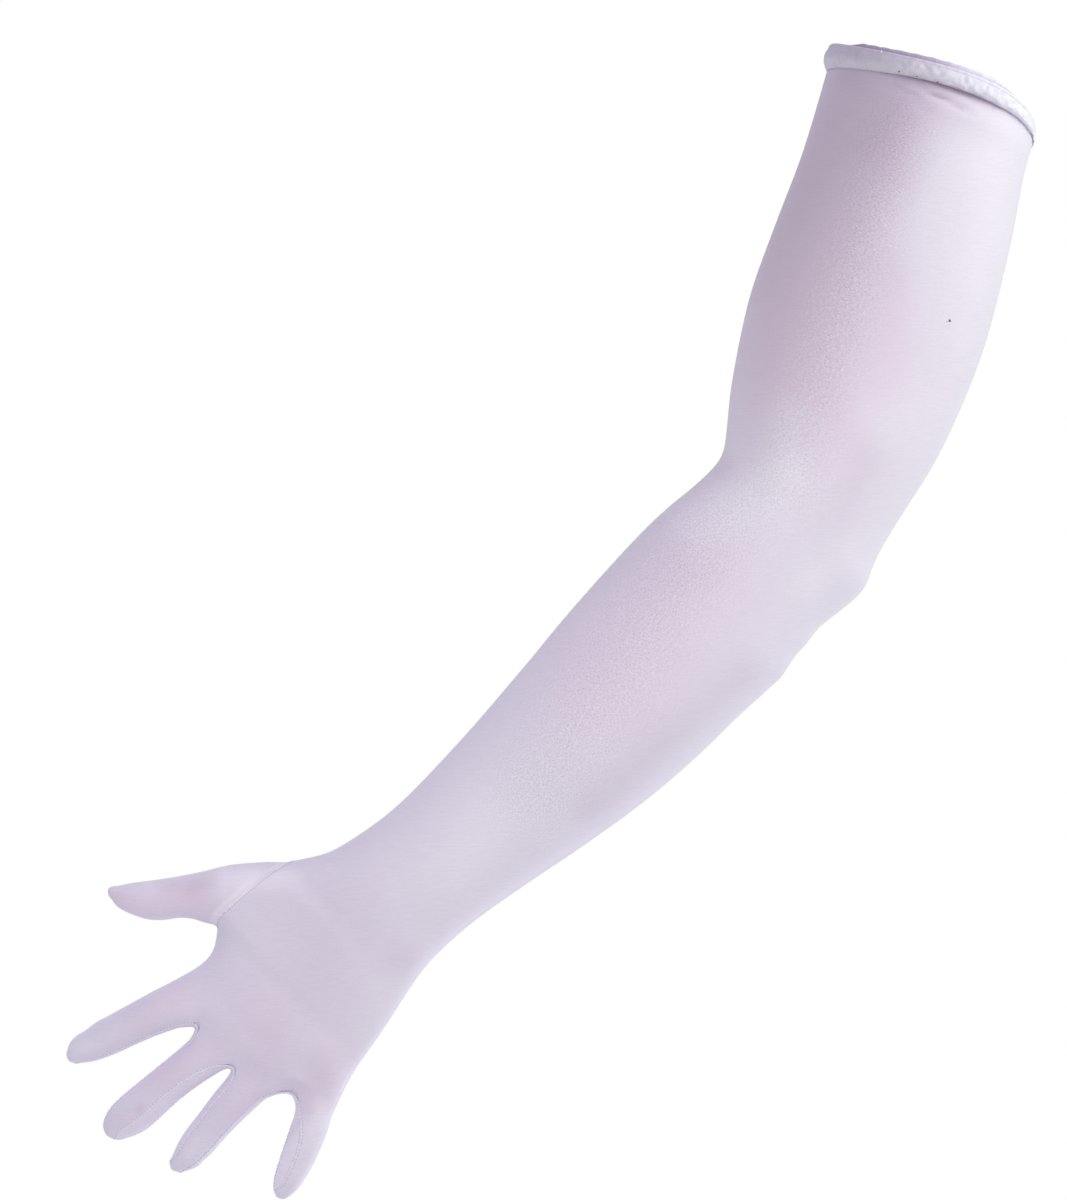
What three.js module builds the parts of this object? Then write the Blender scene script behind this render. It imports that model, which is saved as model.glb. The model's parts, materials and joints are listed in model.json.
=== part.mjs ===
import * as THREE from "three";

// Long glove, left hand, in its worn form: fingers down, back of the hand towards -Y
// Sizes are in millimetres, and the origin is the centre of the arm opening

// Cloth wall, the gap along each seam, and the flattest corner that the gap follows
const WALL = 1.0;
const SEAM_GAP = 0.3;
const CORNER_LIMIT = 0.35;

// Points of a finger's front between its two seams, and the seams' angle round the finger
const FRONT_STEPS = 4;
const SEAM_DEG = 40;

// Roundness of a section: 2 is an ellipse, and the palm is a little squarer
const ROUND = 2;
const PALM_ROUNDING = 2.3;

// The sleeve's last rings, over which the points move part of the way to the fingers' places
const HAND_BLEND = { rings: 8, share: 0.5 };

const THUMB_SEAM_REACH = 10;
const HAND_MID = -10;
const FOURCHETTE_END_RINGS = 2;
const TIP_RING = { along: 0.6, width: 0.8 };

// Hem band round the arm opening: outsets from the sleeve, and shares of them where the band rounds off
const HEM = {
  thickness: 2.4,
  bulge: 1.1,
  lowerOutset: 0.2,
  foldEase: 0.7,
  lowerEase: 0.8,
  facingWall: 0.8,
  facingRise: 1.3,
  facingStart: 0.35,
};

// The hem's lower edge, its middle and its fold
// Lift is how far the front of a section rises and its back drops, and skew leans that rise to the left
const HEM_EDGES = [
  { lx: -40.4, lz: -24.8, rx: 49, rz: 14, front: 44, back: 43, mid: 0, lift: 6.8, skew: 2.5 },
  { lx: -44.4, lz: -20.8, rx: 48.2, rz: 15.8, front: 44.8, back: 43.8, mid: 0, lift: 7.2, skew: 3.2 },
  { lx: -47, lz: -15, rx: 46.6, rz: 18.2, front: 45, back: 44, mid: 0, lift: 7, skew: 4.2 },
];

// Upper arm and forearm, from the hem to the base of the thumb
// Each row is one section: its left and right ends, half depths, middle in Y, rings up to the next row,
// and its lift and skew where it has any
const SLEEVE = [
  { lx: -40.4, lz: -24.8, rx: 49, rz: 14, front: 44, back: 43, mid: 0, lift: 6.8, skew: 2.5, rings: 3 },
  { lx: -22.4, lz: -58.3, rx: 72.6, rz: -23.1, front: 45, back: 45, mid: -2.5, lift: 4.5, skew: 0.5, rings: 3 },
  { lx: -7.2, lz: -92.3, rx: 94.9, rz: -60.6, front: 45.5, back: 46, mid: -5.5, lift: 1.5, skew: 0, rings: 2 },
  { lx: 9, lz: -125.6, rx: 112.3, rz: -100.5, front: 45, back: 45.5, mid: -8.5, rings: 3 },
  { lx: 29.5, lz: -156.6, rx: 124.1, rz: -142.5, front: 43, back: 43, mid: -11, rings: 2 },
  { lx: 43, lz: -173.6, rx: 131.2, rz: -168, front: 41.5, back: 41, mid: -12, rings: 1 },
  { lx: 48.8, lz: -181.5, rx: 136.2, rz: -178.5, front: 41, back: 40.5, mid: -12, rings: 1 },
  { lx: 50.2, lz: -190, rx: 136.4, rz: -189, front: 40.5, back: 40, mid: -12, rings: 1 },
  { lx: 49.8, lz: -201, rx: 134.8, rz: -201, front: 40, back: 40, mid: -12, rings: 1 },
  { lx: 48.4, lz: -214, rx: 135, rz: -214, front: 39.5, back: 40.5, mid: -12, rings: 1 },
  { lx: 47.6, lz: -226, rx: 136.6, rz: -226, front: 39, back: 40.5, mid: -12, rings: 1 },
  { lx: 47.6, lz: -237, rx: 138, rz: -237, front: 38.5, back: 40.5, mid: -12, rings: 2 },
  { lx: 48.6, lz: -257, rx: 136.9, rz: -257, front: 37.5, back: 39.5, mid: -12, rings: 2 },
  { lx: 51, lz: -288, rx: 136.5, rz: -288, front: 35.5, back: 37, mid: -12, rings: 2 },
  { lx: 53.7, lz: -318, rx: 134, rz: -318, front: 33, back: 34, mid: -12, rings: 2 },
  { lx: 56, lz: -348, rx: 129.3, rz: -348, front: 29.5, back: 30.5, mid: -11.5, rings: 2 },
  { lx: 57.2, lz: -378, rx: 123.3, rz: -378, front: 25.5, back: 26, mid: -11, rings: 2 },
  { lx: 56.9, lz: -400, rx: 119.4, rz: -400, front: 22.5, back: 22.5, mid: -11, rings: 2 },
  { lx: 54.4, lz: -417, rx: 117.4, rz: -417, front: 20.5, back: 20.5, mid: -10.5, rings: 2 },
  { lx: 49.6, lz: -435, rx: 116.8, rz: -435, front: 18.5, back: 20, mid: -10, rings: 1 },
  { lx: 42, lz: -446.5, rx: 118, rz: -446, front: 17, back: 19.5, mid: -10, rings: 1 },
];

// Lengths of the sleeve from the hem down, each up to one of the sleeve's rows
// Each length has a half over the back of the arm and a half over its inner side
const SLEEVE_LENGTHS = [
  { length: "upper_sleeve", endRow: 7 },
  { length: "middle_sleeve", endRow: 14 },
  { length: "lower_sleeve", endRow: SLEEVE.length - 1 },
];

// Sections beside the thumb: the seam's place on the back and on the palm, and the hand's far edge
const THUMB_SEAM = [
  { seam: 39.6, palmSeam: 41, z: -454.5, rx: 119.6, front: 16.5, back: 19.5 },
  { seam: 38, palmSeam: 43.5, z: -463, rx: 121.5, front: 16, back: 19.5 },
  { seam: 37, palmSeam: 45, z: -471.5, rx: 123.3, front: 15.5, back: 19 },
  { seam: 36.4, palmSeam: 44.5, z: -480, rx: 124.9, front: 15, back: 18.5 },
  { seam: 36.7, palmSeam: 42, z: -487.5, rx: 126.2, front: 14.5, back: 18 },
];

// Hand below the thumb: edges, half depths and how far each row has taken up the line of the finger roots
const KNUCKLES = [
  { lx: 39.2, lz: -493.5, rx: 127.3, rz: -493.5, front: 14, back: 17.5, mid: -10, roots: 0 },
  { lx: 44.8, lz: -501.5, rx: 129.2, rz: -500.5, front: 13.5, back: 16.5, mid: -10, roots: 0.12 },
  { lx: 45.2, lz: -510, rx: 131.5, rz: -507.5, front: 12.8, back: 15.5, mid: -9.5, roots: 0.35 },
  { lx: 43, lz: -519, rx: 133.8, rz: -513.5, front: 12, back: 14, mid: -9, roots: 0.65 },
];

// Where two fingers part: the crotch, and how much higher the cloth's edge runs over the back and the palm
const WEBS = [
  { x: 63.5, z: -532.2, rise: 3, half: 6.2 },
  { x: 88.3, z: -534.2, rise: 3, half: 6.2 },
  { x: 115.8, z: -522.8, rise: 2.6, half: 5.6 },
];
const ROOT_ENDS = { lx: 40.6, lz: -526.5, rx: 135.4, rz: -518.0, half: 9.4, mid: -8.5 };

// Fingers from the index to the little one: each row is one section with its two edges, half depth,
// middle in Y and turn about the finger in degrees
const FINGERS = [
  {
    tip: { x: 33.6, z: -583.7, mid: -2.5 },
    rows: [
      { lx: 38.6, lz: -532.5, rx: 58.6, rz: -536.3, half: 9.2, mid: -8.5, turn: 6, rings: 2 },
      { lx: 35.4, lz: -543.5, rx: 53.8, rz: -546.4, half: 8.7, mid: -8, turn: 10, rings: 2 },
      { lx: 32.2, lz: -555, rx: 49.8, rz: -556.5, half: 8.3, mid: -6.5, turn: 10, rings: 2 },
      { lx: 29.6, lz: -565.5, rx: 46.2, rz: -566.5, half: 7.9, mid: -5, turn: 10, rings: 1 },
      { lx: 28.2, lz: -572.2, rx: 43.1, rz: -573.2, half: 7.2, mid: -4, turn: 10, rings: 1 },
      { lx: 28.2, lz: -577.2, rx: 40.4, rz: -577.9, half: 5.9, mid: -3.2, turn: 10, rings: 1 },
      { lx: 30.2, lz: -581.2, rx: 37.5, rz: -581.4, half: 3.6, mid: -2.7, turn: 10, rings: 1 },
    ],
  },
  {
    tip: { x: 69.6, z: -595.3, mid: -2.0 },
    rows: [
      { lx: 65.5, lz: -537, rx: 85.4, rz: -537.6, half: 9.3, mid: -8.5, turn: -14, rings: 2 },
      { lx: 64.7, lz: -547.5, rx: 83.1, rz: -548, half: 9, mid: -8, turn: -26, rings: 2 },
      { lx: 63.6, lz: -560, rx: 81.3, rz: -560.5, half: 8.6, mid: -6, turn: -30, rings: 2 },
      { lx: 62.5, lz: -571.5, rx: 80.9, rz: -572, half: 8.3, mid: -4.5, turn: -30, rings: 1 },
      { lx: 61.8, lz: -579.8, rx: 80.5, rz: -580.1, half: 7.8, mid: -3.5, turn: -30, rings: 1 },
      { lx: 62.2, lz: -586.9, rx: 78.4, rz: -586.9, half: 6.7, mid: -2.7, turn: -30, rings: 1 },
      { lx: 64.6, lz: -592.4, rx: 75, rz: -592.3, half: 4.5, mid: -2.2, turn: -30, rings: 1 },
    ],
  },
  {
    tip: { x: 101.2, z: -585.3, mid: -2.5 },
    rows: [
      { lx: 89.4, lz: -538, rx: 108.5, rz: -530.5, half: 9, mid: -8.5, turn: 3, rings: 2 },
      { lx: 90.4, lz: -548, rx: 107.8, rz: -546, half: 8.6, mid: -8, turn: 4, rings: 2 },
      { lx: 91.9, lz: -558.5, rx: 108, rz: -558, half: 8.2, mid: -6.5, turn: 4, rings: 2 },
      { lx: 93.2, lz: -568.5, rx: 108.8, rz: -569, half: 7.7, mid: -4.8, turn: 4, rings: 1 },
      { lx: 94.9, lz: -575.6, rx: 108.6, rz: -576, half: 6.9, mid: -3.7, turn: 4, rings: 1 },
      { lx: 97.3, lz: -581.4, rx: 106, rz: -581.7, half: 4.7, mid: -3, turn: 4, rings: 1 },
    ],
  },
  {
    tip: { x: 143.3, z: -560.8, mid: -2.5 },
    rows: [
      { lx: 121.4, lz: -526.2, rx: 138.2, rz: -522.2, half: 8, mid: -8, turn: 10, rings: 2 },
      { lx: 126, lz: -534.2, rx: 142, rz: -531, half: 7.6, mid: -7.5, turn: 36, rings: 2 },
      { lx: 130.7, lz: -543.6, rx: 145.7, rz: -541.9, half: 7.1, mid: -6, turn: 42, rings: 2 },
      { lx: 134.7, lz: -551.4, rx: 147.6, rz: -551.4, half: 6.5, mid: -4.5, turn: 42, rings: 1 },
      { lx: 138.1, lz: -557.2, rx: 147.1, rz: -557.6, half: 4.5, mid: -3.3, turn: 42, rings: 1 },
    ],
  },
];

// Thumb, from its seam to its tip: upper edge, lower edge, half depth and middle in Y
const THUMB = {
  tip: { x: -8.6, z: -515.6, mid: -5.5 },
  rows: [
    { lx: 35.2, lz: -454.2, rx: 34, rz: -495.2, half: 12.5, mid: -9, turn: 0, rings: 1 },
    { lx: 28.2, lz: -462.2, rx: 28.4, rz: -497.9, half: 13.2, mid: -8.5, turn: 0, rings: 1 },
    { lx: 21.8, lz: -470.5, rx: 23.4, rz: -502, half: 12.8, mid: -8, turn: 0, rings: 1 },
    { lx: 17, lz: -479.7, rx: 19.6, rz: -507.2, half: 11.6, mid: -7.5, turn: 0, rings: 1 },
    { lx: 10.6, lz: -489.2, rx: 14.2, rz: -512.5, half: 10.6, mid: -7, turn: 0, rings: 1 },
    { lx: 3.9, lz: -497.8, rx: 7.6, rz: -516.1, half: 9.3, mid: -6.5, turn: 0, rings: 1 },
    { lx: -2.8, lz: -506.2, rx: 0.2, rz: -518.7, half: 7, mid: -6, turn: 0, rings: 1 },
    { lx: -6.5, lz: -511, rx: -4.6, rz: -517.8, half: 4, mid: -5.7, turn: 0, rings: 1 },
  ],
};

const EDGE_POINTS = 2;
const ARM_HALF = FINGERS.length * FRONT_STEPS + EDGE_POINTS;
const RAD = Math.PI / 180;

const lerp = (a, b, t) => a + (b - a) * t;

// Rows in between the named ones, on a smooth curve through every column
function spread(rows) {
  const keys = Object.keys(rows[0]).filter((key) => key !== "rings");
  const at = [0];
  for (let i = 1; i < rows.length; i += 1) {
    const left = Math.hypot(rows[i].lx - rows[i - 1].lx, rows[i].lz - rows[i - 1].lz);
    const right = Math.hypot(rows[i].rx - rows[i - 1].rx, rows[i].rz - rows[i - 1].rz);
    at.push(at[i - 1] + (left + right) / 2);
  }
  const value = (key, i) => rows[i][key] ?? 0;
  const slope = (key, i) => {
    const a = Math.max(i - 1, 0);
    const b = Math.min(i + 1, rows.length - 1);
    return (value(key, b) - value(key, a)) / (at[b] - at[a]);
  };
  const out = [];
  for (let i = 0; i < rows.length - 1; i += 1) {
    const span = at[i + 1] - at[i];
    for (let k = 0; k < rows[i].rings; k += 1) {
      const t = k / rows[i].rings;
      const row = {};
      for (const key of keys) {
        const h00 = 2 * t ** 3 - 3 * t ** 2 + 1;
        const h10 = t ** 3 - 2 * t ** 2 + t;
        const h01 = -2 * t ** 3 + 3 * t ** 2;
        const h11 = t ** 3 - t ** 2;
        row[key] = h00 * value(key, i) + h10 * span * slope(key, i)
          + h01 * value(key, i + 1) + h11 * span * slope(key, i + 1);
      }
      out.push(row);
    }
  }
  out.push({ ...rows[rows.length - 1] });
  return out;
}

// A point of a section at an angle that runs from its left end over the back of the hand to its right end
function sectionPoint(row, angle, outset = 0, rounding = ROUND) {
  const ex = row.rx - row.lx;
  const ez = row.rz - row.lz;
  const length = Math.hypot(ex, ez);
  const ux = ex / length;
  const uz = ez / length;
  const half = length / 2;
  const depth = Math.sin(angle) >= 0 ? row.front : row.back;
  const power = ROUND / rounding;
  const c = -Math.sign(Math.cos(angle)) * Math.abs(Math.cos(angle)) ** power;
  const s = Math.sign(Math.sin(angle)) * Math.abs(Math.sin(angle)) ** power;
  const nx = c / half;
  const ny = -s / depth;
  const scale = outset / Math.hypot(nx, ny);
  const along = half * c + nx * scale;
  const across = row.mid - depth * s + ny * scale;
  const rise = (row.lift ?? 0) * Math.sin(angle) - (row.skew ?? 0) * Math.sin(2 * angle);
  return new THREE.Vector3(
    (row.lx + row.rx) / 2 + ux * along - uz * rise,
    across,
    (row.lz + row.rz) / 2 + uz * along + ux * rise,
  );
}

// The whole outer skin as one closed mesh whose faces know their piece
class Skin {
  constructor() {
    this.points = [];
    this.faces = [];
  }

  point(position) {
    this.points.push(position);
    return this.points.length - 1;
  }

  triangle(a, b, c, piece) {
    this.faces.push({ corners: [a, b, c], piece });
  }

  quad(a, b, c, d, piece) {
    this.triangle(a, b, c, piece);
    this.triangle(a, c, d, piece);
  }

  // Joins two rings with the same number of points; piece(i) names the piece of each strip
  bridge(upper, lower, piece) {
    const count = upper.length;
    for (let i = 0; i < count; i += 1) {
      const j = (i + 1) % count;
      this.quad(upper[i], lower[i], lower[j], upper[j], piece(i));
    }
  }

  normals() {
    const sums = this.points.map(() => new THREE.Vector3());
    for (const { corners } of this.faces) {
      const [a, b, c] = corners.map((i) => this.points[i]);
      const cross = b.clone().sub(a).cross(c.clone().sub(a));
      for (const i of corners) {
        sums[i].add(cross);
      }
    }
    return sums.map((sum) => sum.normalize());
  }
}

const skin = new Skin();

// Angles of the ring's points on the arm, and on the hand where they follow the fingers
const armAngles = Array.from({ length: ARM_HALF + 1 }, (_, i) => (Math.PI * i) / ARM_HALF);
const fingerAngles = Array.from(
  { length: FRONT_STEPS + 1 },
  (_, i) => (SEAM_DEG + ((180 - 2 * SEAM_DEG) * i) / FRONT_STEPS) * RAD,
);

// The line of the finger roots: x, depth and height of each point from the thumb side to the far side
function rootLine() {
  const seamShare = (1 - Math.cos(SEAM_DEG * RAD)) / 2;
  const share = (angle) => ((1 - Math.cos(angle)) / 2 - seamShare) / (1 - 2 * seamShare);
  const firstWidth = (WEBS[0].x - ROOT_ENDS.lx) / (1 - seamShare);
  const lastWidth = (ROOT_ENDS.rx - WEBS[WEBS.length - 1].x) / (1 - seamShare);
  const seamHalf = ROOT_ENDS.half * Math.sin(SEAM_DEG * RAD);
  const stops = [
    { x: ROOT_ENDS.lx + firstWidth * seamShare, z: ROOT_ENDS.lz, half: seamHalf },
    ...WEBS.map((web) => ({ x: web.x, z: web.z + web.rise, half: web.half })),
    { x: ROOT_ENDS.rx - lastWidth * seamShare, z: ROOT_ENDS.rz, half: seamHalf },
  ];
  const line = [{ x: ROOT_ENDS.lx, z: ROOT_ENDS.lz, half: 0 }];
  for (let finger = 0; finger < FINGERS.length; finger += 1) {
    const from = stops[finger];
    const to = stops[finger + 1];
    fingerAngles.forEach((angle, i) => {
      if (i === 0 && finger > 0) {
        return;
      }
      const t = share(angle);
      const crown = Math.sin(angle) * ROOT_ENDS.half - seamHalf;
      const half = lerp(from.half, to.half, t) + crown;
      line.push({ x: lerp(from.x, to.x, t), z: lerp(from.z, to.z, t), half });
    });
  }
  line.push({ x: ROOT_ENDS.rx, z: ROOT_ENDS.rz, half: 0 });
  return line;
}

const ROOTS = rootLine();
const rootShare = (x) => (x - ROOT_ENDS.lx) / (ROOT_ENDS.rx - ROOT_ENDS.lx);
const handAngles = ROOTS.map(({ x }) => Math.acos(1 - 2 * Math.min(Math.max(rootShare(x), 0), 1)));

// One closed ring of the arm or hand; toHand moves its points from even angles to the fingers' places
function armRing(row, toHand, roots = 0) {
  const rounding = lerp(ROUND, PALM_ROUNDING, toHand);
  const position = (i, side) => {
    const angle = lerp(armAngles[i], handAngles[i], toHand);
    const at = sectionPoint(row, side * angle, 0, rounding);
    const straight = lerp(ROOT_ENDS.lz, ROOT_ENDS.rz, rootShare(ROOTS[i].x));
    at.z += roots * (ROOTS[i].z - straight);
    return at;
  };
  const ring = [];
  for (let i = 0; i <= ARM_HALF; i += 1) {
    ring.push(skin.point(position(i, 1)));
  }
  for (let i = ARM_HALF - 1; i > 0; i -= 1) {
    ring.push(skin.point(position(i, -1)));
  }
  return ring;
}

const sideOf = (i) => (i < ARM_HALF ? "back" : "palm");

// Sleeve and wrist
const sleeveRows = spread(SLEEVE);
const rings = sleeveRows.map((row, i) => {
  const left = sleeveRows.length - 1 - i;
  return armRing(row, Math.max(0, 1 - left / HAND_BLEND.rings) * HAND_BLEND.share);
});
const ringOfRow = (end) => SLEEVE.slice(0, end).reduce((count, row) => count + row.rings, 0);
for (let i = 0; i + 1 < rings.length; i += 1) {
  const { length } = SLEEVE_LENGTHS.find(({ endRow }) => i < ringOfRow(endRow));
  skin.bridge(rings[i], rings[i + 1], (k) => `${length}_${sideOf(k)}`);
}

// Hand beside the thumb: the ring is open between the seam on the back and the seam on the palm
function openRing(seam, toHand) {
  const point = (i, side) => {
    const reach = side > 0 ? seam.seam : seam.palmSeam;
    const lx = reach - THUMB_SEAM_REACH;
    const row = { ...seam, lx, lz: seam.z, rz: seam.z, mid: HAND_MID };
    const start = Math.acos(1 - (2 * THUMB_SEAM_REACH) / (seam.rx - lx));
    const angle = lerp(start, Math.PI, lerp(armAngles[i], handAngles[i], toHand) / Math.PI);
    return sectionPoint(row, side * angle, 0, lerp(ROUND, PALM_ROUNDING, toHand));
  };
  const front = [];
  const back = [];
  for (let i = 0; i <= ARM_HALF; i += 1) {
    front.push(skin.point(point(i, 1)));
    back.push(i === ARM_HALF ? front[i] : skin.point(point(i, -1)));
  }
  return { front, back };
}

const closedAsOpen = (ring) => ({
  front: ring.slice(0, ARM_HALF + 1),
  back: [ring[0], ...ring.slice(ARM_HALF).reverse()],
});

function bridgeOpen(upper, lower) {
  for (let i = 0; i < ARM_HALF; i += 1) {
    skin.quad(upper.front[i], lower.front[i], lower.front[i + 1], upper.front[i + 1], "hand_back");
    skin.quad(upper.back[i + 1], lower.back[i + 1], lower.back[i], upper.back[i], "hand_palm");
  }
}

const seamRings = THUMB_SEAM.map((seam, i) => {
  const share = (i + 1) / (THUMB_SEAM.length + 1);
  return openRing(seam, lerp(HAND_BLEND.share, 1, share));
});
const knuckleRings = KNUCKLES.map((row) => armRing(row, 1, row.roots));
const openRun = [closedAsOpen(rings[rings.length - 1]), ...seamRings, closedAsOpen(knuckleRings[0])];
for (let i = 0; i + 1 < openRun.length; i += 1) {
  bridgeOpen(openRun[i], openRun[i + 1]);
}
for (let i = 0; i + 1 < knuckleRings.length; i += 1) {
  skin.bridge(knuckleRings[i], knuckleRings[i + 1], (k) => `hand_${sideOf(k)}`);
}

// The ring of the finger roots, and the middle of each crotch
const rootFront = ROOTS.map(({ x, z, half }) => skin.point(new THREE.Vector3(x, ROOT_ENDS.mid - half, z)));
const rootBack = ROOTS.map(({ x, z, half }, i) => (
  i === 0 || i === ARM_HALF ? rootFront[i] : skin.point(new THREE.Vector3(x, ROOT_ENDS.mid + half, z))
));
const rootRing = [...rootFront, ...rootBack.slice(1, ARM_HALF).reverse()];
skin.bridge(knuckleRings[knuckleRings.length - 1], rootRing, (k) => `hand_${sideOf(k)}`);
const crotch = WEBS.map((web) => skin.point(new THREE.Vector3(web.x, ROOT_ENDS.mid, web.z)));

// A tube from a ring of the skin through its rows to a closed, rounded tip
function tube(base, rows, tip, angles, pieceOf) {
  let upper = base;
  const all = spread(rows);
  const end = all[all.length - 1];
  const cap = { ...end, half: end.half * TIP_RING.width, mid: lerp(end.mid, tip.mid, TIP_RING.along) };
  for (const axis of ["x", "z"]) {
    const middle = (end[`l${axis}`] + end[`r${axis}`]) / 2;
    const shift = (tip[axis] - middle) * TIP_RING.along;
    cap[`l${axis}`] = middle + (end[`l${axis}`] - middle) * TIP_RING.width + shift;
    cap[`r${axis}`] = middle + (end[`r${axis}`] - middle) * TIP_RING.width + shift;
  }
  all.push(cap);
  all.forEach((row, step) => {
    const section = { ...row, front: row.half, back: row.half };
    const lower = angles.map((angle) => skin.point(sectionPoint(section, angle + row.turn * RAD)));
    for (let i = 0; i < lower.length; i += 1) {
      const j = (i + 1) % lower.length;
      const { near, far, crossed } = pieceOf(i, all.length - step);
      if (crossed) {
        skin.triangle(upper[i], lower[i], upper[j], near);
        skin.triangle(lower[i], lower[j], upper[j], far);
      } else {
        skin.triangle(upper[i], lower[i], lower[j], far);
        skin.triangle(upper[i], lower[j], upper[j], near);
      }
    }
    upper = lower;
  });
  const point = skin.point(new THREE.Vector3(tip.x, tip.mid, tip.z));
  for (let i = 0; i < upper.length; i += 1) {
    skin.triangle(upper[i], point, upper[(i + 1) % upper.length], pieceOf(i, 0).far);
  }
}

// Fingers: the strips on each side of a crotch are its fourchette, which tapers off short of the tip
const FOURCHETTES = ["fourchette_index_middle", "fourchette_middle_ring", "fourchette_ring_little"];
const ringAngles = [
  0,
  ...fingerAngles,
  Math.PI,
  ...fingerAngles.map((angle) => angle + Math.PI),
];

FINGERS.forEach((finger, k) => {
  const first = 1 + k * FRONT_STEPS;
  const last = first + FRONT_STEPS;
  const base = [
    k === 0 ? rootFront[0] : crotch[k - 1],
    ...rootFront.slice(first, last + 1),
    k === FINGERS.length - 1 ? rootFront[ARM_HALF] : crotch[k],
    ...rootBack.slice(first, last + 1).reverse(),
  ];
  const half = FRONT_STEPS + EDGE_POINTS;
  const pieceOf = (i, left) => {
    const panel = i < half ? "hand_back" : "hand_palm";
    const onLeft = i === 0 || i === 2 * half - 1;
    const onRight = i === half - 1 || i === half;
    const side = onLeft ? k - 1 : k;
    const between = side >= 0 && side < WEBS.length;
    const sewn = (onLeft || onRight) && between && left >= FOURCHETTE_END_RINGS;
    if (!sewn) {
      return { near: panel, far: panel, crossed: false };
    }
    const tapers = left === FOURCHETTE_END_RINGS;
    return { near: FOURCHETTES[side], far: tapers ? panel : FOURCHETTES[side], crossed: i % half === 0 };
  };
  tube(base, finger.rows, finger.tip, ringAngles, pieceOf);
});

// Thumb: its base is the loop of the seam, from the top of the hand's edge round to the crotch and back
const seamTop = rings[rings.length - 1][0];
const seamEnd = knuckleRings[0][0];
const thumbBase = [
  seamTop,
  ...seamRings.map((ring) => ring.front[0]),
  seamEnd,
  ...seamRings.map((ring) => ring.back[0]).reverse(),
];
const thumbAngles = thumbBase.map((_, i) => (2 * Math.PI * i) / thumbBase.length);
tube(thumbBase, THUMB.rows, THUMB.tip, thumbAngles, () => ({ near: "thumb", far: "thumb", crossed: false }));

// Turns the skin of one piece into a closed wall, drawn back from its seams by half the gap
function wallOf(piece, normals) {
  const faces = skin.faces.filter((face) => face.piece === piece);
  const rims = new Map();
  for (const { corners } of faces) {
    corners.forEach((a, i) => {
      const b = corners[(i + 1) % 3];
      if (rims.has(`${b}>${a}`)) {
        rims.delete(`${b}>${a}`);
      } else {
        rims.set(`${a}>${b}`, { a, b });
      }
    });
  }
  const pulls = new Map();
  for (const { a, b } of rims.values()) {
    const run = skin.points[b].clone().sub(skin.points[a]).normalize();
    for (const i of [a, b]) {
      pulls.set(i, [...(pulls.get(i) ?? []), normals[i].clone().cross(run).normalize()]);
    }
  }
  const shift = (i) => {
    const list = pulls.get(i);
    if (!list) {
      return new THREE.Vector3();
    }
    const sum = list.reduce((total, inward) => total.add(inward), new THREE.Vector3());
    const spreadOut = Math.max(sum.lengthSq() / list.length, CORNER_LIMIT);
    return sum.multiplyScalar(SEAM_GAP / 2 / spreadOut);
  };
  const ids = new Map();
  const positions = [];
  const place = (i) => {
    if (!ids.has(i)) {
      const outer = skin.points[i].clone().add(shift(i));
      const inner = outer.clone().addScaledVector(normals[i], -WALL);
      ids.set(i, positions.length / 3);
      positions.push(...outer.toArray(), ...inner.toArray());
    }
    return ids.get(i);
  };
  const index = [];
  for (const { corners } of faces) {
    const [a, b, c] = corners.map(place);
    index.push(a, b, c, c + 1, b + 1, a + 1);
  }
  for (const rim of rims.values()) {
    const a = place(rim.a);
    const b = place(rim.b);
    if (rim.a < rim.b) {
      index.push(b, a, b + 1, a, a + 1, b + 1);
    } else {
      index.push(b, a, a + 1, b, a + 1, b + 1);
    }
  }
  return meshGeometry(positions, index);
}

function meshGeometry(positions, index) {
  const geometry = new THREE.BufferGeometry();
  geometry.setAttribute("position", new THREE.Float32BufferAttribute(positions, 3));
  geometry.setIndex(index);
  geometry.computeVertexNormals();
  return geometry;
}

// The hem's own section at a share of its height, from its lower edge at 0 to its fold at 1
function hemSection(share) {
  const at = Math.min(Math.max(share, 0), 1) * (HEM_EDGES.length - 1);
  const i = Math.min(Math.floor(at), HEM_EDGES.length - 2);
  const row = {};
  for (const key of Object.keys(HEM_EDGES[0])) {
    row[key] = lerp(HEM_EDGES[i][key], HEM_EDGES[i + 1][key], at - i);
  }
  return row;
}

// A closed band round the arm; each stop of its profile has a height share, an outset and a rise
function band(profile, steps) {
  const positions = [];
  const index = [];
  for (let i = 0; i < steps; i += 1) {
    for (const stop of profile) {
      const row = hemSection(stop.share);
      const at = sectionPoint(row, (2 * Math.PI * i) / steps, stop.outset);
      const length = Math.hypot(row.rx - row.lx, row.rz - row.lz);
      at.x -= ((row.rz - row.lz) / length) * stop.rise;
      at.z += ((row.rx - row.lx) / length) * stop.rise;
      positions.push(...at.toArray());
    }
  }
  const count = profile.length;
  for (let i = 0; i < steps; i += 1) {
    const j = (i + 1) % steps;
    for (let k = 0; k < count; k += 1) {
      const m = (k + 1) % count;
      const [a, b, c, d] = [i * count + k, j * count + k, j * count + m, i * count + m];
      index.push(a, b, c, a, c, d);
    }
  }
  return meshGeometry(positions, index);
}

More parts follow.
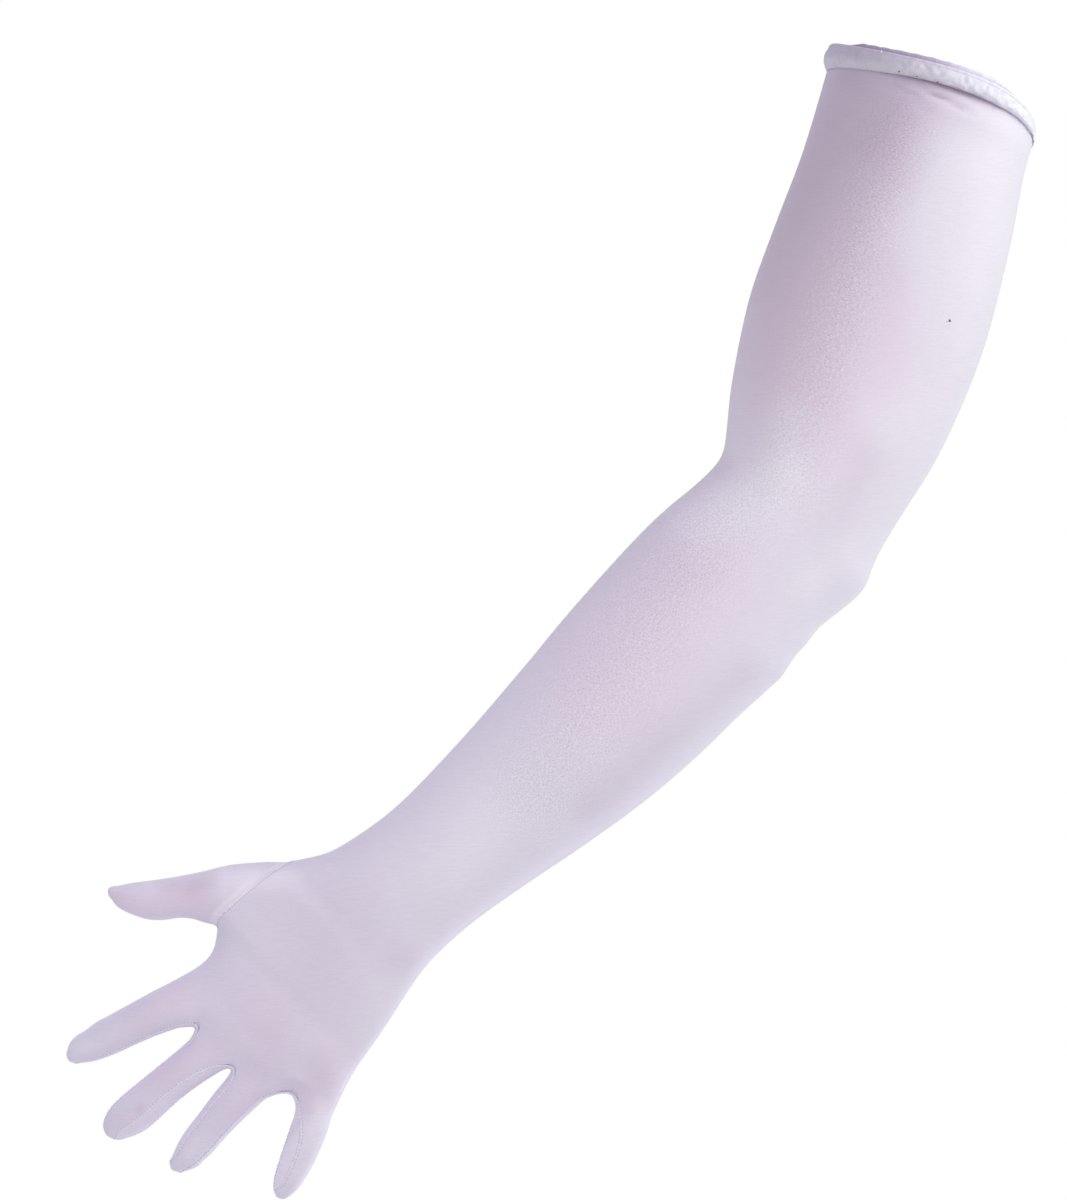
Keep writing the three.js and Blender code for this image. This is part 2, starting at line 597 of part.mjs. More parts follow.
// Profiles of the hem and its facing, with the same middle stops so that the two never cross
const hemInner = HEM.bulge - HEM.thickness;
const hemProfile = [
  { share: 0, outset: HEM.lowerOutset, rise: SEAM_GAP },
  { share: 0.2, outset: HEM.bulge, rise: 0 },
  { share: 0.5, outset: HEM.bulge, rise: 0 },
  { share: 0.92, outset: HEM.bulge * HEM.foldEase, rise: 0 },
  { share: 1, outset: 0, rise: 0 },
  { share: 1, outset: hemInner * HEM.foldEase, rise: 0 },
  { share: 0.85, outset: hemInner, rise: 0 },
  { share: 0.5, outset: hemInner, rise: 0 },
  { share: 0.2, outset: hemInner, rise: 0 },
  { share: 0, outset: hemInner * HEM.lowerEase, rise: SEAM_GAP },
];
const facingOuter = hemInner - SEAM_GAP;
const facingProfile = [
  { share: HEM.facingStart, outset: facingOuter, rise: 0 },
  { share: 0.5, outset: facingOuter, rise: 0 },
  { share: 0.85, outset: facingOuter, rise: 0 },
  { share: 1, outset: facingOuter, rise: HEM.facingRise },
  { share: 1, outset: facingOuter - HEM.facingWall, rise: HEM.facingRise },
  { share: 0.5, outset: facingOuter - HEM.facingWall, rise: 0 },
  { share: HEM.facingStart, outset: facingOuter - HEM.facingWall, rise: 0 },
];

const ROUGHNESS = 0.6;
const COLOURS = {
  upper_sleeve_back: 0xe6dfee,
  upper_sleeve_palm: 0xd8d0e2,
  middle_sleeve_back: 0xe3dcec,
  middle_sleeve_palm: 0xd6cee0,
  lower_sleeve_back: 0xe1daea,
  lower_sleeve_palm: 0xd4ccde,
  hand_back: 0xdfd7e9,
  hand_palm: 0xd2cadd,
  thumb: 0xeae2f0,
  fourchette_index_middle: 0xcfc6dc,
  fourchette_middle_ring: 0xcfc6dc,
  fourchette_ring_little: 0xcfc6dc,
  cuff_hem: 0xe8e4f2,
  hem_facing: 0xdcd4e6,
};

const group = new THREE.Group();
group.name = "long_glove";

function addPiece(name, geometry) {
  const material = new THREE.MeshStandardMaterial({
    color: COLOURS[name],
    roughness: ROUGHNESS,
    metalness: 0,
  });
  const mesh = new THREE.Mesh(geometry, material);
  mesh.name = name;
  group.add(mesh);
}

const normals = skin.normals();
for (const name of new Set(skin.faces.map(({ piece }) => piece))) {
  addPiece(name, wallOf(name, normals));
}
const HEM_STEPS = 2 * ARM_HALF;
addPiece("cuff_hem", band(hemProfile, HEM_STEPS));
addPiece("hem_facing", band(facingProfile, HEM_STEPS));

export default group;
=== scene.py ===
"""Looks of a long knit dress glove, left hand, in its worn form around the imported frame."""
import json
import logging
import math
from collections.abc import Callable, Iterable, Sequence
from dataclasses import astuple, dataclass, field
from enum import Enum

import bpy
import numpy as np
from bpy.types import ID, Material, Mesh, Node, NodeSocket, NodeTree, Object, bpy_prop_collection
from mathutils import Matrix, Vector, noise
from mathutils.kdtree import KDTree

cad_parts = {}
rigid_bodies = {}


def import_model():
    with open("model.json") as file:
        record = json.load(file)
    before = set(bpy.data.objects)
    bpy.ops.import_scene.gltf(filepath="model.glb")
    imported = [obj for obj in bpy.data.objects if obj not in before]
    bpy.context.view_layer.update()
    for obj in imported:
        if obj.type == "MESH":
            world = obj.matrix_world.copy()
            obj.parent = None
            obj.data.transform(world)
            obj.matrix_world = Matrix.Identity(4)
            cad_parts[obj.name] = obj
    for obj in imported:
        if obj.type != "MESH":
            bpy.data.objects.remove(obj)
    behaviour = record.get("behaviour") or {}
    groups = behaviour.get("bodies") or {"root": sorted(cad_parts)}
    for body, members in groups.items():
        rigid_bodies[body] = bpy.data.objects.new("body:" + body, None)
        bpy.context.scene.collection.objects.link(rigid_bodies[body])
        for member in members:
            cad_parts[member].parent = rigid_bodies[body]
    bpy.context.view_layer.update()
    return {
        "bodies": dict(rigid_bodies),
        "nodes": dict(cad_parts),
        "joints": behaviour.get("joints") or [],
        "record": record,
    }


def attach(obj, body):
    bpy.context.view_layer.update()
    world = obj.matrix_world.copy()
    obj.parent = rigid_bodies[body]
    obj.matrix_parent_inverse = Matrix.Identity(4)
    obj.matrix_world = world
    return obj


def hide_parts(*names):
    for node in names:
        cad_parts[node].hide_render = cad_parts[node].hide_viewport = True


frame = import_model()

LOG = logging.getLogger("long_glove")

# A span or a place in two numbers, a place or a colour in three, and the corners of a face
Pair = tuple[float, float]
Triple = tuple[float, float, float]
Face = tuple[int, ...]

MM = 0.001
BODY = "root"
# The power of a plain ellipse, how often the skin is subdivided, and rings for each one that is named
ROUND = 2.0
LEVELS = 2
FINER = 2
# Sine and cosine of an eighth of a turn
EIGHTH = math.sqrt(0.5)
# The least that a length is divided by
TINY = 1e-12
# Where the eye stands, in metres, and the way up across the hem
EYE = (0.0349, -2.010, -0.2881)
HEM_UP = (-0.398, 0.0, 0.917)


class Cloth(Enum):
    """The sewn cloth pieces."""

    BACK = "back_panel"
    PALM = "palm_panel"
    THUMB = "thumb"
    INDEX_MIDDLE = "fourchette_index_middle"
    MIDDLE_RING = "fourchette_middle_ring"
    RING_LITTLE = "fourchette_ring_little"


CLOTHS = tuple(Cloth)
FOURCHETTES = (Cloth.INDEX_MIDDLE, Cloth.MIDDLE_RING, Cloth.RING_LITTLE)


class Slot(Enum):
    """Material slots of the record."""

    SATIN = "satin_knit"
    HEM = "hem_knit"


@dataclass(frozen=True)
class Section:
    """One cross section in millimetres: two edges, half depths, middle in Y and how it tilts and turns."""

    lx: float
    lz: float
    rx: float
    rz: float
    front: float
    back: float
    mid: float
    lift: float = 0.0
    skew: float = 0.0
    turn: float = 0.0
    rings: float = 1.0


@dataclass(frozen=True)
class Web:
    """The crotch between two fingers and the cloth's edge over it."""

    x: float
    z: float
    rise: float
    half: float


@dataclass(frozen=True)
class Tip:
    """The end point of a finger."""

    x: float
    z: float
    mid: float


def digit(*rows: tuple[float, ...]) -> tuple[Section, ...]:
    """Sections of a finger or the thumb.

    Args:
        rows: Two edges, half depth, middle in Y, turn in degrees and rings of each section.

    Returns:
        The sections from root to tip.
    """
    return tuple(
        Section(lx, lz, rx, rz, half, half, mid, turn=turn, rings=rings)
        for lx, lz, rx, rz, half, mid, turn, rings in rows
    )


def spread(rows: Sequence[Section]) -> list[Section]:
    """Sections in between the named ones, on a smooth curve through every column.

    Args:
        rows: The named sections.

    Returns:
        All sections, the last named one included.
    """
    table = np.array([astuple(row) for row in rows], float)
    steps = np.diff(table[:, :4], axis=0)
    spans = (np.hypot(steps[:, 0], steps[:, 1]) + np.hypot(steps[:, 2], steps[:, 3])) / 2
    at = np.concatenate([[0.0], np.cumsum(spans)])
    last = len(rows) - 1
    slopes = [
        (table[min(i + 1, last)] - table[max(i - 1, 0)]) / (at[min(i + 1, last)] - at[max(i - 1, 0)])
        for i in range(len(rows))
    ]
    out = []
    for i, span in enumerate(spans):
        count = int(rows[i].rings) * FINER
        for k in range(count):
            t = k / count
            value = (
                (2 * t**3 - 3 * t**2 + 1) * table[i]
                + (t**3 - 2 * t**2 + t) * span * slopes[i]
                + (3 * t**2 - 2 * t**3) * table[i + 1]
                + (t**3 - t**2) * span * slopes[i + 1]
            )
            out.append(Section(*value))
    out.append(rows[-1])
    return out


def section_point(row: Section, angle: float, rounding: float, outset: float) -> np.ndarray:
    """A point on a section.

    Args:
        row: The section.
        angle: From the left edge at 0 over the back of the hand to the right edge at pi.
        rounding: 2 for an ellipse, more for a squarer section.
        outset: How far the point stands out of the section.

    Returns:
        The point in millimetres.
    """
    edge = np.array([row.rx - row.lx, row.rz - row.lz])
    length = float(np.hypot(*edge))
    ux, uz = edge / length
    half = length / 2
    depth = row.front if math.sin(angle) >= 0 else row.back
    power = ROUND / rounding
    c = -math.copysign(abs(math.cos(angle)) ** power, math.cos(angle))
    s = math.copysign(abs(math.sin(angle)) ** power, math.sin(angle))
    nx, ny = c / half, -s / depth
    scale = outset / math.hypot(nx, ny)
    along = half * c + nx * scale
    across = row.mid - depth * s + ny * scale
    rise = row.lift * math.sin(angle) - row.skew * math.sin(2 * angle)
    return np.array([
        (row.lx + row.rx) / 2 + ux * along - uz * rise,
        across,
        (row.lz + row.rz) / 2 + uz * along + ux * rise,
    ])


@dataclass
class Ring:
    """Points of the cage round the arm or a finger, with their place along the knit."""

    ids: list[int]
    v: float


class Cage:
    """The glove's outer skin as a coarse mesh whose faces know their cloth piece."""

    def __init__(self) -> None:
        """Starts an empty cage."""
        self.points: list[np.ndarray] = []
        self.faces: list[Face] = []
        self.cloths: list[Cloth] = []
        self.uvs: list[tuple[Pair, ...]] = []

    def point(self, at: np.ndarray) -> int:
        """Adds a point and returns its number."""
        self.points.append(at)
        return len(self.points) - 1

    def face(self, corners: Sequence[int], uvs: Sequence[Pair], cloth: Cloth) -> None:
        """Adds a face of one cloth piece.

        Args:
            corners: Its points.
            uvs: Their knit coordinates.
            cloth: The piece.
        """
        self.faces.append(tuple(corners))
        self.uvs.append(tuple(uvs))
        self.cloths.append(cloth)

    def strip(self, upper: Sequence[int], lower: Sequence[int], spot: tuple[float, float, float, float],
              cloth: Cloth) -> None:
        """Adds the quad between two neighbours on two rings.

        Args:
            upper: Two neighbours on the upper ring.
            lower: The same two on the lower ring.
            spot: The knit coordinates u of the two, and v of the two rings.
            cloth: The piece of the quad.
        """
        u0, u1, v0, v1 = spot
        self.face((upper[0], lower[0], lower[1], upper[1]), ((u0, v0), (u0, v1), (u1, v1), (u1, v0)), cloth)


@dataclass
class GloveForm:
    """The worn form of the glove: arm, hand, fingers and thumb as one cage of sewn pieces."""

    front_steps: int = 5
    edge_steps: int = 2
    seam_deg: float = 40.0
    palm_rounding: float = 2.3
    blend_rings: int = 8
    blend_share: float = 0.5
    thumb_reach: float = 10.0
    hand_mid: float = -10.0
    outset: float = 0.15
    tip_along: float = 0.6
    tip_width: float = 0.8
    tip_reach: float = 0.7
    fourchette_end: int = 1
    arm_round: float = 270.0
    digit_round: float = 58.0

    sleeve: tuple[Section, ...] = (
        Section(-40.4, -24.8, 49, 14, 44, 43, 0, 6.8, 2.5, rings=3),
        Section(-22.4, -58.3, 72.6, -23.1, 45, 45, -2.5, 4.5, 0.5, rings=3),
        Section(-7.2, -92.3, 94.9, -60.6, 45.5, 46, -5.5, 1.5, rings=3),
        Section(9, -125.6, 112.3, -100.5, 45, 45.5, -8.5, rings=3),
        Section(29.5, -156.6, 124.1, -142.5, 43, 43, -11, rings=2),
        Section(43, -173.6, 131.2, -168, 41.5, 41, -12),
        Section(48.8, -181.5, 136.2, -178.5, 41, 40.5, -12),
        Section(50.2, -190, 136.4, -189, 40.5, 40, -12),
        Section(49.8, -201, 134.8, -201, 40, 40, -12),
        Section(48.4, -214, 135, -214, 39.5, 40.5, -12),
        Section(47.6, -226, 136.6, -226, 39, 40.5, -12),
        Section(47.6, -237, 138, -237, 38.5, 40.5, -12, rings=2),
        Section(48.6, -257, 136.9, -257, 37.5, 39.5, -12, rings=3),
        Section(51, -288, 136.5, -288, 35.5, 37, -12, rings=2),
        Section(53.7, -318, 134, -318, 33, 34, -12, rings=2),
        Section(56, -348, 129.3, -348, 29.5, 30.5, -11.5, rings=3),
        Section(57.2, -378, 123.3, -378, 25.5, 26, -11, rings=2),
        Section(56.9, -400, 119.4, -400, 22.5, 22.5, -11, rings=2),
        Section(54.4, -417, 117.4, -417, 20.5, 20.5, -10.5, rings=2),
        Section(49.6, -435, 116.8, -435, 18.5, 20, -10),
        Section(42, -446.5, 118, -446, 17, 19.5, -10),
    )
    # Beside the thumb: seam on the back, seam on the palm, height, far edge, half depths
    thumb_seam: tuple[tuple[float, ...], ...] = (
        (39.6, 41, -454.5, 119.6, 16.5, 19.5), (38, 43.5, -463, 121.5, 16, 19.5),
        (37, 45, -471.5, 123.3, 15.5, 19), (36.4, 44.5, -480, 124.9, 15, 18.5),
        (36.7, 42, -487.5, 126.2, 14.5, 18),
    )
    knuckles: tuple[Section, ...] = (
        Section(39.2, -493.5, 127.3, -493.5, 14, 17.5, -10),
        Section(44.8, -501.5, 129.2, -500.5, 13.5, 16.5, -10),
        Section(45.2, -510, 131.5, -507.5, 12.8, 15.5, -9.5),
        Section(43, -519, 133.8, -513.5, 12, 14, -9),
    )
    knuckle_roots: tuple[float, ...] = (0.0, 0.12, 0.35, 0.65)
    webs: tuple[Web, ...] = (
        Web(63.5, -532.2, 3, 6.2), Web(88.3, -534.2, 3, 6.2),
        Web(115.8, -522.8, 2.6, 5.6),
    )
    roots: Section = Section(40.6, -526.5, 135.4, -518.0, 9.4, 9.4, -8.5)
    fingers: tuple[tuple[Section, ...], ...] = (
        digit(
            (38.6, -532.5, 58.6, -536.3, 9.2, -8.5, 6, 2), (35.4, -543.5, 53.8, -546.4, 8.7, -8, 10, 2),
            (32.2, -555, 49.8, -556.5, 8.3, -6.5, 10, 2), (29.6, -565.5, 46.2, -566.5, 7.9, -5, 10, 1),
            (28.2, -572.2, 43.1, -573.2, 7.2, -4, 10, 1), (28.2, -577.2, 40.4, -577.9, 5.9, -3.2, 10, 1),
            (30.2, -581.2, 37.5, -581.4, 3.6, -2.7, 10, 1),
        ),
        digit(
            (65.5, -537, 85.4, -537.6, 9.3, -8.5, -14, 2), (64.7, -547.5, 83.1, -548, 9, -8, -26, 2),
            (63.6, -560, 81.3, -560.5, 8.6, -6, -30, 2), (62.5, -571.5, 80.9, -572, 8.3, -4.5, -30, 1),
            (61.8, -579.8, 80.5, -580.1, 7.8, -3.5, -30, 1), (62.2, -586.9, 78.4, -586.9, 6.7, -2.7, -30, 1),
            (64.6, -592.4, 75, -592.3, 4.5, -2.2, -30, 1),
        ),
        digit(
            (89.4, -538, 108.5, -530.5, 9, -8.5, 3, 2), (90.4, -548, 107.8, -546, 8.6, -8, 4, 2),
            (91.9, -558.5, 108, -558, 8.2, -6.5, 4, 2), (93.2, -568.5, 108.8, -569, 7.7, -4.8, 4, 1),
            (94.9, -575.6, 108.6, -576, 6.9, -3.7, 4, 1), (97.3, -581.4, 106, -581.7, 4.7, -3, 4, 1),
        ),
        digit(
            (121.4, -526.2, 138.2, -522.2, 8, -8, 10, 2), (126, -534.2, 142, -531, 7.6, -7.5, 36, 2),
            (130.7, -543.6, 145.7, -541.9, 7.1, -6, 42, 2), (134.7, -551.4, 147.6, -551.4, 6.5, -4.5, 42, 1),
            (138.1, -557.2, 147.1, -557.6, 4.5, -3.3, 42, 1),
        ),
    )
    finger_tips: tuple[Tip, ...] = (
        Tip(33.6, -583.7, -2.5), Tip(69.6, -595.3, -2),
        Tip(101.2, -585.3, -2.5), Tip(143.3, -560.8, -2.5),
    )
    thumb: tuple[Section, ...] = digit(
        (35.2, -454.2, 34, -495.2, 12.5, -9, 0, 1), (28.2, -462.2, 28.4, -497.9, 13.2, -8.5, 0, 1),
        (21.8, -470.5, 23.4, -502, 12.8, -8, 0, 1), (17, -479.7, 19.6, -507.2, 11.6, -7.5, 0, 1),
        (10.6, -489.2, 14.2, -512.5, 10.6, -7, 0, 1), (3.9, -497.8, 7.6, -516.1, 9.3, -6.5, 0, 1),
        (-2.8, -506.2, 0.2, -518.7, 7, -6, 0, 1), (-6.5, -511, -4.6, -517.8, 4, -5.7, 0, 1),
    )
    thumb_tip: Tip = Tip(-8.6, -515.6, -5.5)

    cage: Cage = field(default_factory=Cage)

    def __post_init__(self) -> None:
        """Works out the angles that every ring shares."""
        self.half = 4 * self.front_steps + 2 * self.edge_steps
        self.arm_angles = [math.pi * i / self.half for i in range(self.half + 1)]
        front = [
            math.radians(self.seam_deg + (180 - 2 * self.seam_deg) * i / self.front_steps)
            for i in range(self.front_steps + 1)
        ]
        side = [math.radians(self.seam_deg * i / self.edge_steps) for i in range(self.edge_steps)]
        self.front_angles = front
        self.side_angles = side
        self.root_line = self.line_of_roots()
        shares = [min(max(self.root_share(x), 0.0), 1.0) for x, _, _ in self.root_line]
        self.hand_angles = [math.acos(1 - 2 * share) for share in shares]

    def root_share(self, x: float) -> float:
        """Place of x between the two ends of the line of finger roots."""
        return (x - self.roots.lx) / (self.roots.rx - self.roots.lx)

    def line_of_roots(self) -> list[Triple]:
        """Place and half depth of each point of the finger roots.

        Returns:
            x, z and half depth from the thumb side to the far side.
        """
        ends, webs = self.roots, self.webs
        seam = math.radians(self.seam_deg)
        seam_share = (1 - math.cos(seam)) / 2
        first = (webs[0].x - ends.lx) / (1 - seam_share)
        last = (ends.rx - webs[-1].x) / (1 - seam_share)
        seam_half = ends.front * math.sin(seam)
        stops = [(ends.lx + first * seam_share, ends.lz, seam_half)]
        stops += [(web.x, web.z + web.rise, web.half) for web in webs]
        stops += [(ends.rx - last * seam_share, ends.rz, seam_half)]
        sides = [(1 - math.cos(angle)) / 2 for angle in self.side_angles]
        depths = [ends.front * math.sin(angle) for angle in self.side_angles]
        line = [(ends.lx + first * share, ends.lz, depth) for share, depth in zip(sides, depths)]
        for finger in range(len(self.fingers)):
            start, stop = np.array(stops[finger]), np.array(stops[finger + 1])
            for i, angle in enumerate(self.front_angles):
                if i == 0 and finger > 0:
                    continue
                t = ((1 - math.cos(angle)) / 2 - seam_share) / (1 - 2 * seam_share)
                x, z, half = start + (stop - start) * t
                line.append((x, z, half + math.sin(angle) * ends.front - seam_half))
        line += [(ends.rx - last * share, ends.rz, depth) for share, depth in zip(sides[::-1], depths[::-1])]
        return line

    def on_the_way(self, to_hand: float) -> tuple[float, list[float]]:
        """The rounding and the angles of a ring that is partly on the way from the arm to the hand."""
        angles = [arm + (hand - arm) * to_hand for arm, hand in zip(self.arm_angles, self.hand_angles)]
        return ROUND + (self.palm_rounding - ROUND) * to_hand, angles

    def arm_ring(self, row: Section, to_hand: float, v: float, roots: float = 0.0) -> Ring:
        """Adds one closed ring of the arm or hand.

        Args:
            row: Its section.
            to_hand: How far its points have moved to the fingers' places, from 0 to 1.
            v: Its place along the knit.
            roots: How far it has taken up the line of the finger roots, from 0 to 1.

        Returns:
            The ring, over the front and then the back.
        """
        rounding, angles = self.on_the_way(to_hand)

        def place(i: int, side: int) -> int:
            """Adds one point of the ring.

            Args:
                i: Its number from the left edge.
                side: 1 on the front and -1 on the back.

            Returns:
                Its number in the cage.
            """
            at = section_point(row, side * angles[i], rounding, self.outset)
            x, z, _ = self.root_line[i]
            straight = self.roots.lz + (self.roots.rz - self.roots.lz) * self.root_share(x)
            at[2] += roots * (z - straight)
            return self.cage.point(at)

        front = [place(i, 1) for i in range(self.half + 1)]
        back = [place(i, -1) for i in range(self.half - 1, 0, -1)]
        return Ring(front + back, v)

    def u_of(self, i: int) -> float:
        """Place round the knit of point i of an arm ring."""
        return i / (2 * self.half) * self.arm_round

    def panel_of(self, i: int) -> Cloth:
        """The panel of strip i of an arm ring."""
        return Cloth.BACK if i < self.half else Cloth.PALM

    def bridge(self, upper: Ring, lower: Ring) -> None:
        """Joins two closed rings of the arm or hand.

        Args:
            upper: One ring.
            lower: The next one down.
        """
        count = len(upper.ids)
        for i in range(count):
            j = (i + 1) % count
            self.cage.strip(
                (upper.ids[i], upper.ids[j]), (lower.ids[i], lower.ids[j]),
                (self.u_of(i), self.u_of(i + 1), upper.v, lower.v), self.panel_of(i),
            )

    def open_ring(self, seam: Sequence[float], to_hand: float) -> tuple[list[int], list[int]]:
        """Adds a ring that is open beside the thumb.

        Args:
            seam: A row of thumb_seam.
            to_hand: How far its points have moved to the fingers' places.

        Returns:
            Its points over the front and over the back, each from the seam to the far edge.
        """
        on_back, on_palm, z, rx, front, back = seam
        rounding, angles = self.on_the_way(to_hand)

        def place(i: int, side: int) -> int:
            """Adds one point of the ring.

            Args:
                i: Its number from the left edge.
                side: 1 on the front and -1 on the back.

            Returns:
                Its number in the cage.
            """
            lx = (on_back if side > 0 else on_palm) - self.thumb_reach
            row = Section(lx, z, rx, z, front, back, self.hand_mid)
            start = math.acos(1 - 2 * self.thumb_reach / (rx - lx))
            turned = start + (math.pi - start) * angles[i] / math.pi
            return self.cage.point(section_point(row, side * turned, rounding, self.outset))

        over_front = [place(i, 1) for i in range(self.half + 1)]
        over_back = [place(i, -1) for i in range(self.half)] + [over_front[-1]]
        return over_front, over_back

    def split(self, ring: Ring) -> tuple[list[int], list[int]]:
        """A closed ring as its front and back points."""
        front = ring.ids[: self.half + 1]
        return front, [front[0]] + ring.ids[self.half:][::-1]

    def bridge_open(self, upper: tuple[list[int], list[int]], lower: tuple[list[int], list[int]],
                    v0: float, v1: float) -> None:
        """Joins two rings that are open beside the thumb.

        Args:
            upper: One ring's points over the front and over the back.
            lower: The same of the next one down.
            v0: The upper ring's place along the knit.
            v1: The lower ring's place.
        """
        whole = 2 * self.half
        for i in range(self.half):
            spot = (self.u_of(i), self.u_of(i + 1), v0, v1)
            self.cage.strip(upper[0][i:i + 2], lower[0][i:i + 2], spot, Cloth.BACK)
            spot = (self.u_of(whole - i - 1), self.u_of(whole - i), v0, v1)
            self.cage.strip(upper[1][i:i + 2][::-1], lower[1][i:i + 2][::-1], spot, Cloth.PALM)

    def tube(self, base: list[int], rows: Sequence[Section], tip: Tip, v: float,
             cloth_of: Callable[[int, int], tuple[Cloth, Cloth, bool]]) -> None:
        """Adds a finger or the thumb from a ring of the hand to its closed tip.

        Args:
            base: The ring of the hand that it starts from.
            rows: Its sections.
            tip: Its end point.
            v: The knit's place at its base.
            cloth_of: Gives a strip's near and far cloth, and whether its quad is split the other way.
        """
        sections = spread(rows)
        end = sections[-1]
        middle = np.array([(end.lx + end.rx) / 2, (end.lz + end.rz) / 2])
        shift = (np.array([tip.x, tip.z]) - middle) * self.tip_along
        left = middle + (np.array([end.lx, end.lz]) - middle) * self.tip_width + shift
        right = middle + (np.array([end.rx, end.rz]) - middle) * self.tip_width + shift
        half = end.front * self.tip_width
        mid = end.mid + (tip.mid - end.mid) * self.tip_along
        sections.append(Section(*left, *right, half, half, mid, turn=end.turn))
        count = len(base)
        angles = [math.tau * i / count for i in range(count)]
        upper = base
        last = self.cage.points[base[0]]
        for step, row in enumerate(sections):
            turned = [angle + math.radians(row.turn) for angle in angles]
            lower = [self.cage.point(section_point(row, angle, ROUND, self.outset)) for angle in turned]
            here = self.cage.points[lower[0]]
            v_low = v + float(np.linalg.norm(here - last))
            last = here
            for i in range(count):
                j = (i + 1) % count
                u0, u1 = i / count * self.digit_round, (i + 1) / count * self.digit_round
                near, far, crossed = cloth_of(i, len(sections) - step)
                if near is far:
                    self.cage.strip((upper[i], upper[j]), (lower[i], lower[j]), (u0, u1, v, v_low), near)
                elif crossed:
                    self.cage.face((upper[i], lower[i], upper[j]), ((u0, v), (u0, v_low), (u1, v)), near)
                    self.cage.face((lower[i], lower[j], upper[j]), ((u0, v_low), (u1, v_low), (u1, v)), far)
                else:
                    self.cage.face((upper[i], lower[i], lower[j]), ((u0, v), (u0, v_low), (u1, v_low)), far)
                    self.cage.face((upper[i], lower[j], upper[j]), ((u0, v), (u1, v_low), (u1, v)), near)
            upper, v = lower, v_low
        reach = np.array([tip.x - middle[0], tip.z - middle[1]])
        reach *= self.tip_reach / float(np.hypot(*reach))
        point = self.cage.point(np.array([tip.x + reach[0], tip.mid, tip.z + reach[1]]))
        for i in range(count):
            j = (i + 1) % count
            u0, u1 = i / count * self.digit_round, (i + 1) / count * self.digit_round
            self.cage.face((upper[i], point, upper[j]), ((u0, v), (u0, v + self.tip_reach), (u1, v)),
                           cloth_of(i, 0)[1])

    def finger_cloth(self, finger: int) -> Callable[[int, int], tuple[Cloth, Cloth, bool]]:
        """How the strips of one finger are shared out between panels and fourchettes.

        Args:
            finger: Its number from the index at 0.

        Returns:
            The function that tube() asks.
        """
        edge = self.edge_steps
        half = self.front_steps + 2 * edge

        def cloth_of(i: int, left: int) -> tuple[Cloth, Cloth, bool]:
            """Cloths of one quad.

            Args:
                i: The strip's number.
                left: How many rings are left down to the tip.

            Returns:
                The near cloth, the far one, and whether the quad is split the other way.
            """
            panel = Cloth.BACK if i < half else Cloth.PALM
            from_left = min(i, 2 * half - 1 - i)
            from_right = half - 1 - i if i < half else i - half
            side = finger - 1 if from_left < edge else finger
            from_mid = min(from_left, from_right)
            taper = self.fourchette_end + from_mid
            if from_mid >= edge or not 0 <= side < len(FOURCHETTES) or left < taper:
                return panel, panel, False
            far = panel if left == taper else FOURCHETTES[side]
            return FOURCHETTES[side], far, i < edge or half <= i < half + edge

        return cloth_of

    def build(self) -> Cage:
        """Builds the whole cage.

        Returns:
            The cage, in millimetres.
        """
        rows = spread(self.sleeve)
        rings: list[Ring] = []
        v = 0.0
        for i, row in enumerate(rows):
            if i:
                old = rows[i - 1]
                dx, dz = row.lx + row.rx - old.lx - old.rx, row.lz + row.rz - old.lz - old.rz
                v += math.hypot(dx / 2, dz / 2)
            to_hand = max(0.0, 1 - (len(rows) - 1 - i) / (self.blend_rings * FINER)) * self.blend_share
            rings.append(self.arm_ring(row, to_hand, v))
        for upper, lower in zip(rings, rings[1:]):
            self.bridge(upper, lower)

        seams = self.spread_seam()
        wrist_v = rings[-1].v
        opens = [
            self.open_ring(seam, self.blend_share + (1 - self.blend_share) * (i + 1) / (len(seams) + 1))
            for i, seam in enumerate(seams)
        ]
        knuckle_rows, roots = self.spread_knuckles()
        hand_top = rows[-1].lz
        knuckle_rings = [
            self.arm_ring(row, 1.0, wrist_v + hand_top - row.lz, root)
            for row, root in zip(knuckle_rows, roots)
        ]
        run = [self.split(rings[-1]), *opens, self.split(knuckle_rings[0])]
        heights = [wrist_v, *(wrist_v + hand_top - seam[2] for seam in seams), knuckle_rings[0].v]
        for i in range(len(run) - 1):
            self.bridge_open(run[i], run[i + 1], heights[i], heights[i + 1])
        for upper, lower in zip(knuckle_rings, knuckle_rings[1:]):
            self.bridge(upper, lower)

        mid = self.roots.mid
        front = [self.cage.point(np.array([x, mid - half, z])) for x, z, half in self.root_line]
        back = [
            front[i] if i in (0, self.half) else self.cage.point(np.array([x, mid + half, z]))
            for i, (x, z, half) in enumerate(self.root_line)
        ]
        root_v = wrist_v + hand_top - self.roots.lz
        self.bridge(knuckle_rings[-1], Ring(front + back[1:self.half][::-1], root_v))
        self.add_fingers(front, back, root_v)

        base = [rings[-1].ids[0], *(ring[0][0] for ring in opens), knuckle_rings[0].ids[0]]
        base += [ring[1][0] for ring in opens][::-1]
        whole = (Cloth.THUMB, Cloth.THUMB, False)
        self.tube(base, self.thumb, self.thumb_tip, wrist_v, lambda i, left: whole)
        return self.cage

    def spread_seam(self) -> list[tuple[float, ...]]:
        """The thumb seam's rows with rows in between.

        Returns:
            The rows, as thumb_seam names them.
        """
        rows = [
            Section(on_back, z, rx, z, front, back, on_palm)
            for on_back, on_palm, z, rx, front, back in self.thumb_seam
        ]
        return [(row.lx, row.mid, row.lz, row.rx, row.front, row.back) for row in spread(rows)]

    def spread_knuckles(self) -> tuple[list[Section], list[float]]:
        """The knuckles' rows with rows in between.

        Returns:
            The sections, and how far each takes up the line of the finger roots.
        """
        rows = [
            Section(*astuple(row)[:7], turn=share) for row, share in zip(self.knuckles, self.knuckle_roots)
        ]
        done = spread(rows)
        return done, [row.turn for row in done]

